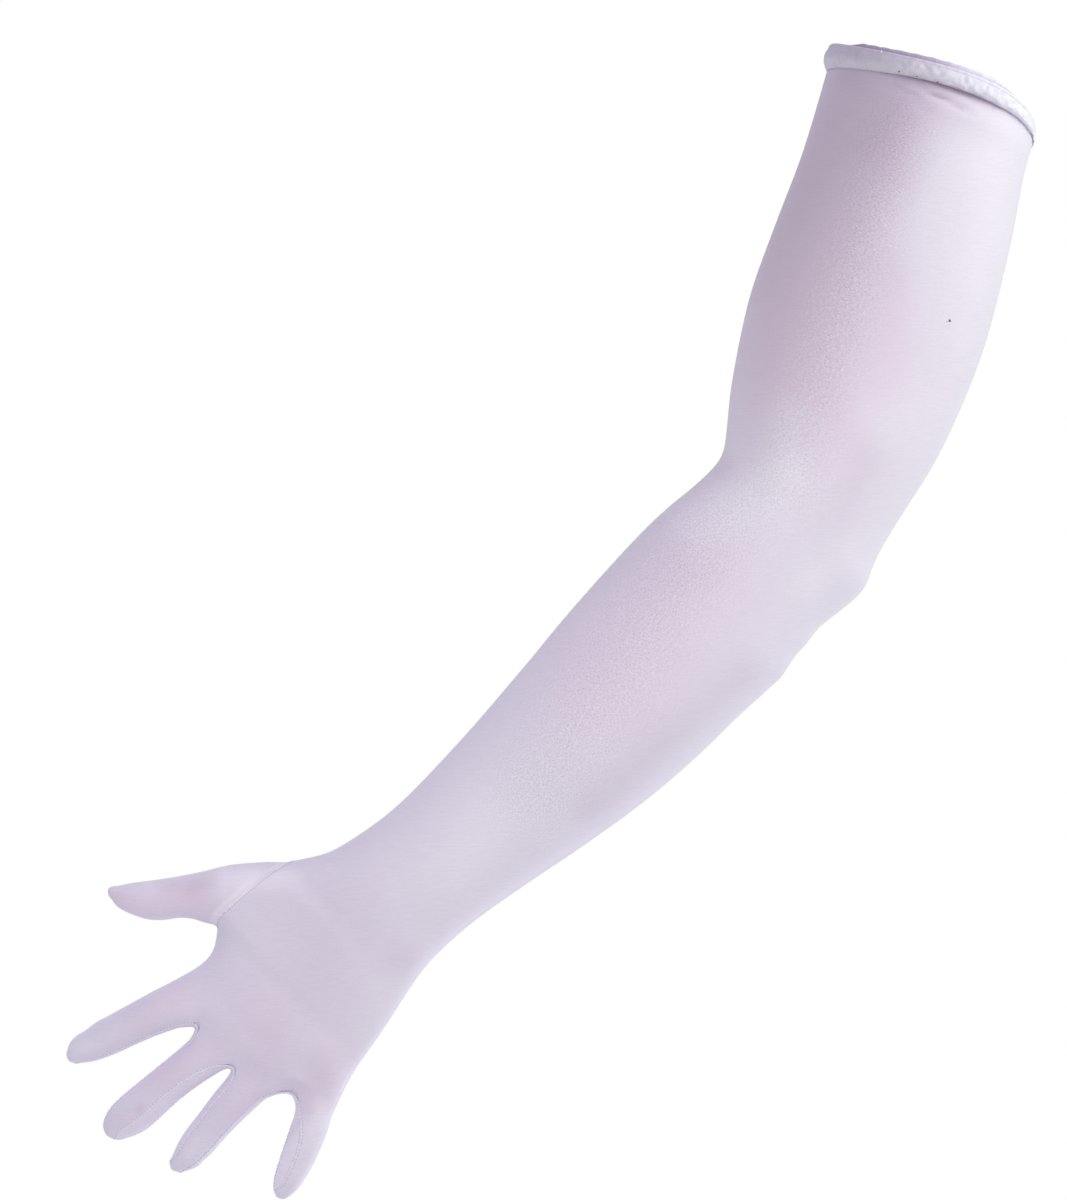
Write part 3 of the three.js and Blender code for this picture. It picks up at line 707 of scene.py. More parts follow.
    def add_fingers(self, front: list[int], back: list[int], v: float) -> None:
        """Adds the four fingers below the finger roots.

        Args:
            front: The points of the finger roots over the front.
            back: The same over the palm.
            v: The knit's place at the finger roots.
        """
        mid = self.roots.mid
        crotches = []
        for web in self.webs:
            line = []
            for k in range(1 - self.edge_steps, self.edge_steps):
                t = k / self.edge_steps
                line.append(self.cage.point(np.array([web.x, mid + t * web.half, web.z + web.rise * t * t])))
            crotches.append(line)
        edge, steps = self.edge_steps, self.front_steps
        left_end = front[edge - 1:0:-1] + [front[0]] + back[1:edge]
        right_end = front[self.half - edge + 1:self.half] + [front[self.half]]
        right_end += back[self.half - edge + 1:self.half][::-1]
        sides = [left_end, *crotches, right_end]
        for k, rows in enumerate(self.fingers):
            first = edge + k * steps
            left, right = sides[k], sides[k + 1]
            centre = len(left) // 2
            base = [left[centre], *left[:centre][::-1], *front[first:first + steps + 1]]
            base += right[:centre] + [right[centre]] + right[centre + 1:]
            base += back[first:first + steps + 1][::-1] + left[centre + 1:][::-1]
            self.tube(base, rows, self.finger_tips[k], v, self.finger_cloth(k))


@dataclass(frozen=True)
class Mound:
    """A soft round rise, placed as the front view shows it, in millimetres; below zero it is a hollow."""

    x: float
    z: float
    radius: float
    height: float


@dataclass(frozen=True)
class Fold:
    """A soft straight fold, placed as the front view shows it, in millimetres; below zero it is a crease."""

    x0: float
    z0: float
    x1: float
    z1: float
    width: float
    height: float


@dataclass(frozen=True)
class Pull:
    """A small corner of the outline, placed as the front view shows it: how far the cloth is drawn out."""

    x: float
    z: float
    radius: float
    dx: float
    dz: float


@dataclass(frozen=True)
class Tint:
    """A soft stretch along a short line, placed as the front view shows it, where one mask rises; the tables
    use it for pink flush, painted light, painted shade and stronger grain.
    """

    x0: float
    z0: float
    x1: float
    z1: float
    radius: float
    share: float


def smoothstep(low: float, high: float, value: np.ndarray) -> np.ndarray:
    """Zero below low, one above high and smooth between them."""
    t = np.clip((value - low) / (high - low), 0.0, 1.0)
    return t * t * (3 - 2 * t)


def ease(span: Pair, value: float) -> float:
    """How far a single value has passed through a span, from 0 to 1."""
    return float(smoothstep(*span, value))


@dataclass(frozen=True)
class HemLine:
    """How the hem's lower edge lies on the sleeve: spans in x or y in millimetres, shares from 0 to 1."""

    least: float = 0.05
    left: Pair = (-30.0, -4.0)
    right: Pair = (12.0, 38.0)
    right_loss: float = 0.55
    end: Pair = (38.0, 48.0)
    end_loss: float = 0.7
    to_back: Pair = (8.0, 28.0)
    # Where and how much the painted shade in the crease fades at the front's little finger side
    fade: Pair = (22.0, 42.0)
    fade_loss: float = 0.8
    first_rise: float = 0.5
    first_step: Pair = (-24.0, -8.0)
    second_step: Pair = (24.0, 42.0)
    rise_end: Pair = (0.0, 20.0)

    def overhang(self, co: np.ndarray) -> np.ndarray:
        """How far the hem stands over the sleeve: fully at the back, hardly at the front's thumb side.

        Args:
            co: One point or more, in metres.

        Returns:
            A share for each point.
        """
        x, y = co[..., 0] / MM, co[..., 1] / MM
        front = self.least + (1 - self.least) * smoothstep(*self.left, x)
        front = front * (1 - self.right_loss * smoothstep(*self.right, x))
        front = front * (1 - self.end_loss * smoothstep(*self.end, x))
        return front + (1 - front) * smoothstep(*self.to_back, y)

    def dusk(self, co: np.ndarray) -> np.ndarray:
        """How dark the painted shade in the crease under the hem is; it fades at the front's little finger
        side.
        """
        fade = smoothstep(*self.fade, co[..., 0] / MM) * (1 - smoothstep(*self.to_back, co[..., 1] / MM))
        return self.overhang(co) * (1 - self.fade_loss * fade)

    def rise(self, co: np.ndarray) -> np.ndarray:
        """How much higher the lower edge stands towards the front's little finger side.

        Args:
            co: One point or more, in metres.

        Returns:
            Millimetres for each point.
        """
        x, y = co[..., 0] / MM, co[..., 1] / MM
        steps = self.first_rise * smoothstep(*self.first_step, x) + smoothstep(*self.second_step, x)
        return steps * (1 - smoothstep(*self.rise_end, y))


HEM_LINE = HemLine()


def seen_at(co: np.ndarray) -> np.ndarray:
    """Where points show on the glove's middle plane in the front view.

    Args:
        co: The points in metres.

    Returns:
        Their x and z in millimetres.
    """
    scale = EYE[1] / (EYE[1] - co[:, 1])
    x = EYE[0] + (co[:, 0] - EYE[0]) * scale
    z = EYE[2] + (co[:, 2] - EYE[2]) * scale
    return np.stack([x, z], axis=1) / MM


def along_line(at: np.ndarray, x0: float, z0: float, x1: float, z1: float) -> tuple[np.ndarray, np.ndarray]:
    """Places along and across a short line.

    Args:
        at: x and z of the points.
        x0: Start of the line in x.
        z0: Start of the line in z.
        x1: End of the line in x.
        z1: End of the line in z.

    Returns:
        The share of the line's length that each point has passed, and its distance to the line's left.
    """
    run = np.array([x1 - x0, z1 - z0])
    length = max(float(np.hypot(*run)), TINY)
    run = run / length
    away = at - np.array([x0, z0])
    return away @ run / length, away @ np.array([-run[1], run[0]])


def face_normals(co: np.ndarray, faces: np.ndarray) -> np.ndarray:
    """Normals of quads, as long as twice their area."""
    return np.cross(co[faces[:, 2]] - co[faces[:, 0]], co[faces[:, 3]] - co[faces[:, 1]])


def point_normals(co: np.ndarray, faces: np.ndarray) -> np.ndarray:
    """Unit normals of the points of a quad mesh.

    Args:
        co: The points.
        faces: The quads.

    Returns:
        A normal for each point.
    """
    sums = np.zeros_like(co)
    normals = face_normals(co, faces)
    for corner in range(4):
        np.add.at(sums, faces[:, corner], normals)
    return sums / np.maximum(np.linalg.norm(sums, axis=1, keepdims=True), TINY)


def chains(edges: Iterable[tuple[int, int]]) -> list[list[int]]:
    """Joins edges into lines that run from junction to junction.

    Args:
        edges: Pairs of point numbers.

    Returns:
        Each line as its points in order; a closed line repeats its first point.
    """
    links: dict[int, list[int]] = {}
    for a, b in edges:
        links.setdefault(a, []).append(b)
        links.setdefault(b, []).append(a)
    used: set[tuple[int, int]] = set()
    lines = []
    starts = sorted(links, key=lambda p: (len(links[p]) == 2, p))
    for start in starts:
        for step in links[start]:
            if (start, step) in used:
                continue
            line = [start, step]
            used |= {(start, step), (step, start)}
            while len(links[line[-1]]) == 2 and line[-1] != start:
                ahead = [p for p in links[line[-1]] if p != line[-2]]
                if not ahead or (line[-1], ahead[0]) in used:
                    break
                used |= {(line[-1], ahead[0]), (ahead[0], line[-1])}
                line.append(ahead[0])
            lines.append(line)
    return lines


def linked(name: str, data: ID) -> Object:
    """Adds an object with its data to the scene.

    Args:
        name: Its name.
        data: Its mesh, light or camera.

    Returns:
        The object.
    """
    obj = bpy.data.objects.new(name, data)
    bpy.context.scene.collection.objects.link(obj)
    return obj


def new_material(name: str) -> tuple[Material, NodeTree, Node]:
    """Starts a material.

    Args:
        name: Its name.

    Returns:
        The material, its tree and its shader.
    """
    material = bpy.data.materials.new(name)
    material.use_nodes = True
    return material, material.node_tree, material.node_tree.nodes["Principled BSDF"]


def fill(node: Node, settings: dict[str, object]) -> None:
    """Sets a node's own inputs by name; a colour of three numbers becomes opaque."""
    for name, value in settings.items():
        node.inputs[name].default_value = (*value, 1.0) if isinstance(value, tuple) else value


def link(source: Node, given: str | int, target: Node, taken: str | int) -> None:
    """Joins an output of one node to an input of another."""
    source.id_data.links.new(source.outputs[given], target.inputs[taken])


def mesh_object(name: str, co: np.ndarray, faces: Sequence[Sequence[int]]) -> Object:
    """Makes a smooth-shaded mesh object at the origin.

    Args:
        name: Its name.
        co: Its points in metres.
        faces: Its faces.

    Returns:
        The object, linked to the scene.
    """
    mesh = bpy.data.meshes.new(name)
    mesh.from_pydata(np.asarray(co).tolist(), [], [tuple(int(i) for i in face) for face in faces])
    mesh.shade_smooth()
    mesh.update()
    return linked(name, mesh)


def realised(obj: Object, name: str) -> Object:
    """Turns an object's modifiers into a plain mesh object and removes the first one.

    Args:
        obj: The object with its modifiers.
        name: The new object's name.

    Returns:
        The new object.
    """
    depsgraph = bpy.context.evaluated_depsgraph_get()
    mesh = bpy.data.meshes.new_from_object(obj.evaluated_get(depsgraph))
    bpy.data.objects.remove(obj)
    mesh.name = name
    return linked(name, mesh)


def values(mesh: Mesh, name: str, numbers: np.ndarray) -> None:
    """Stores one number for each point of a mesh."""
    mesh.attributes.new(name, "FLOAT", "POINT").data.foreach_set("value", np.asarray(numbers, np.float32))


def read(items: bpy_prop_collection, name: str, kind: type, width: int) -> np.ndarray:
    """Reads one property of every item of a mesh.

    Args:
        items: The points, corners or values.
        name: The property.
        kind: The kind of its numbers.
        width: How many numbers each item has.

    Returns:
        The numbers in a row.
    """
    out = np.zeros(len(items) * width, kind)
    items.foreach_get(name, out)
    return out


# Masks of the cloth: pink flush, lighter doubled cloth at the seams together with painted light, painted
# shade in the crease under the hem and in patches, and grain strength
MASKS = ("flush", "allowance", "crease", "nap")


class SmoothSkin:
    """The cage smoothed into the glove's fine surface."""

    def __init__(self, cage: Cage) -> None:
        """Subdivides the cage and reads its points, faces, cloths and knit coordinates.

        Args:
            cage: The cage, in millimetres.
        """
        obj = mesh_object("skin", np.array(cage.points) * MM, cage.faces)
        numbers = [CLOTHS.index(cloth) for cloth in cage.cloths]
        obj.data.attributes.new("cloth", "INT", "FACE").data.foreach_set("value", numbers)
        corners = np.array([uv for uvs in cage.uvs for uv in uvs], np.float32) * MM
        obj.data.uv_layers.new(name="knit").data.foreach_set("uv", corners.ravel())
        smooth = obj.modifiers.new("smooth", "SUBSURF")
        smooth.levels = smooth.render_levels = LEVELS
        fine = realised(obj, "skin")
        mesh = fine.data
        self.co = read(mesh.vertices, "co", float, 3).reshape(-1, 3)
        self.faces = read(mesh.loops, "vertex_index", np.int32, 1).reshape(-1, 4)
        self.cloth = read(mesh.attributes["cloth"].data, "value", np.int32, 1)
        self.uv = read(mesh.uv_layers["knit"].data, "uv", np.float32, 2).reshape(-1, 4, 2)
        bpy.data.objects.remove(fine)
        self.along = np.zeros(len(self.co))
        self.along[self.faces.ravel()] = self.uv[:, :, 1].ravel()
        self.normals = point_normals(self.co, self.faces)
        self.seams = self.find_seams()

    def find_seams(self) -> dict[frozenset[Cloth], list[list[int]]]:
        """The lines along which two cloth pieces meet.

        Returns:
            For each pair of cloths, their lines of points.
        """
        starts = self.faces.ravel()
        stops = np.roll(self.faces, -1, axis=1).ravel()
        cloth = np.repeat(self.cloth, 4)
        low, high = np.minimum(starts, stops), np.maximum(starts, stops)
        order = np.lexsort((high, low))
        low, high, cloth = low[order], high[order], cloth[order]
        meets = (low[1:] == low[:-1]) & (high[1:] == high[:-1]) & (cloth[1:] != cloth[:-1])
        edges: dict[frozenset[Cloth], list[tuple[int, int]]] = {}
        for i in np.flatnonzero(meets):
            pair = frozenset((CLOTHS[cloth[i]], CLOTHS[cloth[i + 1]]))
            edges.setdefault(pair, []).append((int(low[i]), int(high[i])))
        return {pair: chains(found) for pair, found in edges.items()}

    def seam_points(self, wanted: Callable[[frozenset[Cloth]], bool]) -> np.ndarray:
        """Close points along the seams whose pair of cloths is wanted.

        Args:
            wanted: Says whether a pair of cloths is wanted.

        Returns:
            The points in metres.
        """
        out = []
        for pair, lines in self.seams.items():
            if not wanted(pair):
                continue
            for line in lines:
                co = self.co[line]
                for quarter in range(4):
                    t = quarter / 4
                    out.append(co[:-1] * (1 - t) + co[1:] * t)
        return np.concatenate(out)


def nearest(points: np.ndarray, co: np.ndarray, reach: float) -> np.ndarray:
    """Distance from each point to the nearest of a set.

    Args:
        points: The set.
        co: The points that ask.
        reach: The largest distance that matters, in metres.

    Returns:
        The distances, no more than reach.
    """
    tree = KDTree(len(points))
    for i, at in enumerate(points):
        tree.insert(at, i)
    tree.balance()
    low, high = points.min(axis=0) - reach, points.max(axis=0) + reach
    out = np.full(len(co), reach)
    for i in np.flatnonzero(np.all((co > low) & (co < high), axis=1)):
        out[i] = min(tree.find(co[i])[2], reach)
    return out


@dataclass
class Relief:
    """What lifts or sinks the cloth: the valley under the hem, bones, soft folds and puckers."""

    sleeve_end: float = -446.0
    valley_depth: float = 1.4
    valley_at: float = 0.8
    valley_width: float = 2.8
    rise_reach: float = 8.0
    swell: float = 0.35
    swell_at: float = 9.0
    swell_width: float = 4.0
    pucker: float = 0.16
    pucker_pitch: float = 3.4
    pucker_reach: float = 3.5
    pucker_cross: float = 7.0
    pucker_shift: float = 1.0
    edge_bump: float = 0.4
    edge_pitch: float = 4.6
    edge_top: Pair = (-215.0, -200.0)
    edge_bottom: Pair = (-308.0, -288.0)
    edge_side: Pair = (50.0, 57.0)
    drift: float = 0.22
    drift_scale: float = 34.0
    front: Pair = (0.1, 0.6)
    flat: Pair = (0.1, 0.7)
    fold_start: Pair = (-0.25, 0.25)
    fold_end: Pair = (0.75, 1.25)
    mounds: tuple[Mound, ...] = (
        Mound(108.5, -440, 9, 1), Mound(53, -506, 9, 0.7),
        Mound(76, -512, 9, 0.8), Mound(98, -510, 9, 0.7),
        Mound(119, -503, 8, 0.6), Mound(64, -516, 6, -0.35),
        Mound(87, -518, 6, -0.35), Mound(109, -511, 6, -0.3),
    )
    pulls: tuple[Pull, ...] = (
        Pull(-8.5, -514.6, 1.7, -0.5, 0), Pull(34.4, -582.6, 1.6, 0.2, -0.3),
        Pull(28.8, -569, 2, 0.4, 0), Pull(-8.5, -514, 5, 0.6, -0.6),
        Pull(35, -581, 4.5, 0, 0.8), Pull(28, -561.5, 3, -0.7, 0),
        Pull(105.5, -582.5, 2.5, -0.2, 0.4), Pull(97.7, -582.9, 1.8, 0.2, 0.2),
        Pull(101.6, -583.9, 1.8, 0, -0.35), Pull(108.6, -572.3, 2.5, -0.45, -0.3),
        Pull(14, -484, 14, -0.5, 0.5), Pull(135.5, -206, 4, -0.5, 0.2),
        Pull(134.5, -215, 3.5, 0.5, -0.2), Pull(134.5, -222.5, 3.5, -0.5, 0.2),
        Pull(138, -233, 4, 0.5, -0.3), Pull(143.5, -558, 4, 0, 0.6),
        Pull(64, -532.6, 3.5, 0, 1.7), Pull(87.2, -536.2, 3, 0, 1.3),
        Pull(114.3, -525.7, 6, -0.4, 1.7), Pull(47, -238, 28, 0.7, 0),
        Pull(100, -75, 38, 1.2, 0.4), Pull(118, -122, 22, 1.3, 0.1),
        Pull(72, -22, 30, 0.8, 0.6), Pull(50.5, 13, 6.5, -0.3, 2),
    )
    folds: tuple[Fold, ...] = (
        Fold(-4.3, -0.4, 17.2, 7.6, 1, -1.50), Fold(-4, 2.4, 17, 10.2, 1.4, 0.80),
        Fold(-14, -7.5, 0, -3, 1.2, -0.50), Fold(-22, -13, -2, -4.5, 2, -0.50),
        Fold(-12, -11.5, 6, -5, 1.6, -0.30), Fold(41, -497, 47, -474, 1.6, -0.18),
        Fold(46, -500, 54, -482, 1.8, -0.14),
    )

    def apply(self, skin: SmoothSkin) -> None:
        """Moves the skin's points and works out their normals again.

        Args:
            skin: The skin, which is changed.
        """
        co, normals = skin.co / MM, skin.normals
        front = smoothstep(*self.front, -normals[:, 1])
        flat = smoothstep(*self.flat, np.abs(normals[:, 1]))
        down = skin.along / MM
        seen = seen_at(skin.co)
        move = np.zeros(len(co))
        valley = np.exp(-(((down - self.valley_at) / self.valley_width) ** 2))
        swell = np.exp(-(((down - self.swell_at) / self.swell_width) ** 2))
        sleeve = co[:, 2] > self.sleeve_end
        valley *= HEM_LINE.overhang(skin.co)
        move += np.where(sleeve, self.swell * swell - self.valley_depth * valley, 0.0) * flat
        for mound in self.mounds:
            far = np.hypot(seen[:, 0] - mound.x, seen[:, 1] - mound.z)
            move += front * mound.height * np.exp(-((far / mound.radius) ** 2))
        for fold in self.folds:
            along, across = along_line(seen, fold.x0, fold.z0, fold.x1, fold.z1)
            ends = smoothstep(*self.fold_start, along) * (1 - smoothstep(*self.fold_end, along))
            move += front * fold.height * ends * np.exp(-((across / fold.width) ** 2))
        pull = np.zeros_like(co)
        for corner in self.pulls:
            far = np.hypot(seen[:, 0] - corner.x, seen[:, 1] - corner.z)
            pull += np.exp(-((far / corner.radius) ** 2))[:, None] * np.array([corner.dx, 0.0, corner.dz])
        rise = HEM_LINE.rise(skin.co) * np.exp(-((down / self.rise_reach) ** 2))
        pull += np.where(sleeve, rise, 0.0)[:, None] * np.array(HEM_UP)
        move += self.puckers(skin, co)
        move += self.edge_bumps(co)
        scale = 1 / self.drift_scale
        move += self.drift * np.array([noise.noise(Vector(at) * scale) for at in co])
        skin.co = (co + normals * move[:, None] + pull) * MM
        skin.normals = point_normals(skin.co, skin.faces)

    def puckers(self, skin: SmoothSkin, co: np.ndarray) -> np.ndarray:
        """The small gathers beside the seams of the thumb and the fingers.

        Args:
            skin: The skin.
            co: Its points in millimetres.

        Returns:
            The height at each point, in millimetres.
        """
        hand = skin.seam_points(lambda pair: not pair <= {Cloth.BACK, Cloth.PALM})
        far = nearest(hand, skin.co, self.pucker_reach * MM) / MM
        wave = np.sin(math.tau * co[:, 2] / self.pucker_pitch)
        wave *= np.sin(math.tau * co[:, 0] / self.pucker_cross + self.pucker_shift)
        return self.pucker * wave * (1 - far / self.pucker_reach)

    def edge_bumps(self, co: np.ndarray) -> np.ndarray:
        """The regular small bumps down the thumb side of the forearm.

        Args:
            co: The points in millimetres.

        Returns:
            The height at each point, in millimetres.
        """
        span = smoothstep(*self.edge_bottom, co[:, 2]) * (1 - smoothstep(*self.edge_top, co[:, 2]))
        side = 1 - smoothstep(*self.edge_side, co[:, 0])
        wave = np.sin(math.tau * co[:, 2] / self.edge_pitch)
        return self.edge_bump * span * side * (1 + wave) / 2


@dataclass
class Panels:
    """The cloth panels as thin closed walls cut from the smooth skin."""

    skin: SmoothSkin
    wall: float = 0.5
    gap: float = 0.06
    band: float = 4.4
    band_full: float = 0.6
    line: float = 1.3
    line_full: float = 0.4
    # The painted shade in the crease under the hem: its width, strength, lowest height on the sleeve and how
    # far it wraps towards the sides
    crease_width: float = 3.6
    crease_share: float = 0.6
    crease_end: float = -60.0
    crease_facing: Pair = (0.0, 0.4)
    tip_end: float = -556.0
    tip_side: float = 62.0
    strip_share: float = 0.50
    band_share: float = 0.85
    nap_base: float = 0.12
    tints: tuple[Tint, ...] = (
        Tint(-15, -25, 42, -132, 27, 1), Tint(60, -95, 78, -150, 20, 0.35),
        Tint(4, -22, 80, -104, 9, 0.45), Tint(-30, -22, -10, -12, 8, 0.50),
        Tint(-4, -8, 16, 4, 8, 0.18), Tint(-28, -45, 6, -105, 13, 0.45),
        Tint(4, -94, 20, -135, 14, 0.30), Tint(70, -130, 92, -138, 9, 0.30),
        Tint(56, -196, 86, -174, 14, 0.50), Tint(76, -228, 82, -286, 32, 0.78),
        Tint(20, -490, -2, -512, 11, 0.82), Tint(80, -509, 90, -512, 13, 0.60),
        Tint(118, -500, 128, -527, 9, 0.80), Tint(72, -580, 71, -586, 5, 0.45),
        Tint(98, -529, 101, -547, 7.5, 0.55), Tint(74.5, -535.5, 70, -560, 8, 0.60),
        Tint(48, -529, 43, -545, 8, 0.70), Tint(74, -441, 76, -446, 12, 0.15),
        Tint(108.5, -440, 108, -444, 7, 0.3), Tint(17.5, -487.5, 22, -480, 7, 0.4),
    )
    # Patches of painted shade, which darken the cloth towards its painted shade colour
    painted_shades: tuple[Tint, ...] = (
        Tint(72.2, -577.2, 71.5, -576, 1.8, 0.20), Tint(17.5, -487.5, 21, -482, 4.5, 0.14),
        Tint(127, -530, 129, -545, 1.6, 0.20), Tint(-2.5, 0.3, 14, 6.4, 0.9, 0.50),
        Tint(-14, -7.5, -2, -3.6, 1, 0.20), Tint(-6, -14, -2, -34, 10, 0.19),
        Tint(-30, -20, -14, -10, 6, 0.10), Tint(72, -60, 86, -86, 12, 0.08),
        Tint(99, -138, 108, -166, 12, 0.20), Tint(24, -110, 44, -160, 13, 0.06),
        Tint(104, -262, 110, -296, 12, 0.06), Tint(127, -245, 120, -335, 9, 0.15),
        Tint(66, -455, 92, -480, 22, 0.15), Tint(80, -290, 98, -340, 18, 0.05),
    )
    # Patches of painted light, which lighten the cloth towards its lighter colour
    painted_lights: tuple[Tint, ...] = (
        Tint(28, -14, 34, -52, 14, 0.50), Tint(84, -425, 108, -362, 14, 0.18),
        Tint(128, -500, 134, -520, 6, 0.40), Tint(62, -210, 82, -178, 13, 0.75),
        Tint(64.2, -534, 65, -535, 3, 0.45), Tint(87.6, -537.8, 88, -538.5, 3, 0.45),
        Tint(112, -527, 119, -527.5, 3, 0.45), Tint(118, -191, 119, -194, 10, 0.60),
        Tint(88, -375, 104, -400, 16, 0.30), Tint(58, -194, 76, -164, 9, 0.45),
        Tint(74, -166, 60, -148, 9, 0.35), Tint(24, -470, 40, -462, 6, 0.70),
        Tint(27, -479, 46, -454, 6, 0.35), Tint(-6, -511, 4, -503, 5, 0.55),
        Tint(0, -499, 22, -476, 4, 0.55), Tint(32, -577, 34, -575, 5, 0.65),
        Tint(102, -575, 101, -570, 5, 0.50), Tint(132, -528, 140, -553, 7, 0.85),
        Tint(-3, 2.6, 14, 9.2, 1.2, 0.60),
    )
    naps: tuple[Tint, ...] = (
        Tint(2, -22, 76, -165, 18, 0.75), Tint(66, -205, 96, -345, 27, 0.80),
    )

    def build(self) -> dict[Cloth, Object]:
        """Builds every panel.

        Returns:
            The panels by cloth.
        """
        skin = self.skin
        thumb = skin.seam_points(lambda pair: Cloth.THUMB in pair)
        hand = skin.seam_points(lambda pair: bool(pair & set(FOURCHETTES)))
        edge = skin.seam_points(lambda pair: pair == {Cloth.BACK, Cloth.PALM})
        tips = edge[(edge[:, 2] < self.tip_end * MM) & (edge[:, 0] > self.tip_side * MM)]
        hand = np.concatenate([hand, tips])
        self.to_thumb = nearest(thumb, skin.co, self.band * MM) / MM
        self.to_line = nearest(hand, skin.co, self.line * MM) / MM
        return {cloth: self.panel(cloth) for cloth in CLOTHS}

    def panel(self, cloth: Cloth) -> Object:
        """Builds one panel with its outer and inner face and its rim.

        Args:
            cloth: Which one.

        Returns:
            Its object.
        """
        skin = self.skin
        chosen = skin.cloth == CLOTHS.index(cloth)
        faces = skin.faces[chosen]
        ids, local = np.unique(faces, return_inverse=True)
        local = local.reshape(-1, 4)
        count = len(ids)
        starts, stops = local.ravel(), np.roll(local, -1, axis=1).ravel()
        known = set(zip(starts.tolist(), stops.tolist()))
        rim = [(a, b) for a, b in known if (b, a) not in known]
        pull = np.zeros((count, 3))
        normals = skin.normals[ids]
        co = skin.co[ids]
        for a, b in rim:
            run = co[b] - co[a]
            for i in (a, b):
                inward = np.cross(normals[i], run)
                pull[i] += inward / max(float(np.linalg.norm(inward)), TINY)
        size = np.linalg.norm(pull, axis=1, keepdims=True)
        outer = co + pull / np.maximum(size, TINY) * np.minimum(size, 1.0) * self.gap * MM
        inner = outer - normals * self.wall * MM
        lower = local[:, ::-1] + count
        sides = np.array([(b, a, a + count, b + count) for a, b in rim])
        obj = mesh_object(cloth.value + "_cloth", np.concatenate([outer, inner]), [*local, *lower, *sides])
        uv = skin.uv[chosen]
        flat = {}
        for face, corners in zip(local, uv):
            for i, corner in zip(face, corners):
                flat[int(i)] = corner
        rim_uv = np.array([[flat[b], flat[a], flat[a], flat[b]] for a, b in rim])
        layer = obj.data.uv_layers.new(name="knit")
        layer.data.foreach_set("uv", np.concatenate([uv, uv[:, ::-1], rim_uv]).astype(np.float32).ravel())
        sewn = 1 - smoothstep(self.line * self.line_full, self.line, self.to_line[ids])
        if cloth is Cloth.THUMB:
            band = 1 - smoothstep(self.band * self.band_full, self.band, self.to_thumb[ids])
            sewn = np.maximum(sewn, band * self.band_share)
        if cloth in FOURCHETTES:
            sewn = np.maximum(sewn, self.strip_share)
        # The masks: pink flush; lighter doubled cloth at the seams together with painted light; painted
        # shade in the crease and in patches; grain strength
        zones = (self.tints, self.painted_lights, self.painted_shades, self.naps)
        flush, pale, shade, nap = (self.amount(tints, co) for tints in zones)
        masks = (flush, np.minimum(sewn + pale, 1.0), np.maximum(self.crease(ids), shade),
                 np.maximum(nap, self.nap_base))
        for name, numbers in zip(MASKS, masks):
            values(obj.data, name, np.tile(numbers, 2))
        return obj

    def crease(self, ids: np.ndarray) -> np.ndarray:
        """How much painted shade the points of the cloth take in the crease under the hem.

        Args:
            ids: The points' numbers on the skin.

        Returns:
            A share for each point.
        """
        down = self.skin.along[ids] / MM
        across = smoothstep(*self.crease_facing, np.abs(self.skin.normals[ids, 1]))
        sleeve = self.skin.co[ids, 2] > self.crease_end * MM
        across *= HEM_LINE.dusk(self.skin.co[ids]) * self.crease_share
        return np.where(sleeve, np.exp(-((down / self.crease_width) ** 2)) * across, 0.0)

    def amount(self, tints: Iterable[Tint], co: np.ndarray) -> np.ndarray:
        """How much of a set of tints each point of the cloth takes, from 0 to 1.

        Args:
            tints: The set.
            co: The points in metres.

        Returns:
            One number for each point.
        """
        seen = seen_at(co)
        out = np.zeros(len(co))
        for tint in tints:
            length = math.hypot(tint.x1 - tint.x0, tint.z1 - tint.z0)
            along, across = along_line(seen, tint.x0, tint.z0, tint.x1, tint.z1)
            past = np.maximum(np.maximum(-along, along - 1.0), 0.0) * length
            out += tint.share * np.exp(-((np.hypot(past, across) / tint.radius) ** 2))
        return np.clip(out, 0.0, 1.0)


@dataclass
class SeamLines:
    """The smoothed lines of the seams, which the ridges and the stitches follow."""

    skin: SmoothSkin
    smoothing: int = 3

    def frame(self, line: list[int]) -> tuple[np.ndarray, np.ndarray, np.ndarray]:
        """Smooths one line of the skin.

        Args:
            line: Its points on the skin.

        Returns:
            Places, normals and sideways directions.
        """
        co = self.skin.co[line].copy()
        for _ in range(self.smoothing):
            co[1:-1] = co[1:-1] * 0.5 + (co[:-2] + co[2:]) * 0.25
        normals = self.skin.normals[line]
        sides = np.cross(normals, np.gradient(co, axis=0))
        sides /= np.maximum(np.linalg.norm(sides, axis=1, keepdims=True), TINY)
        return co, normals, sides


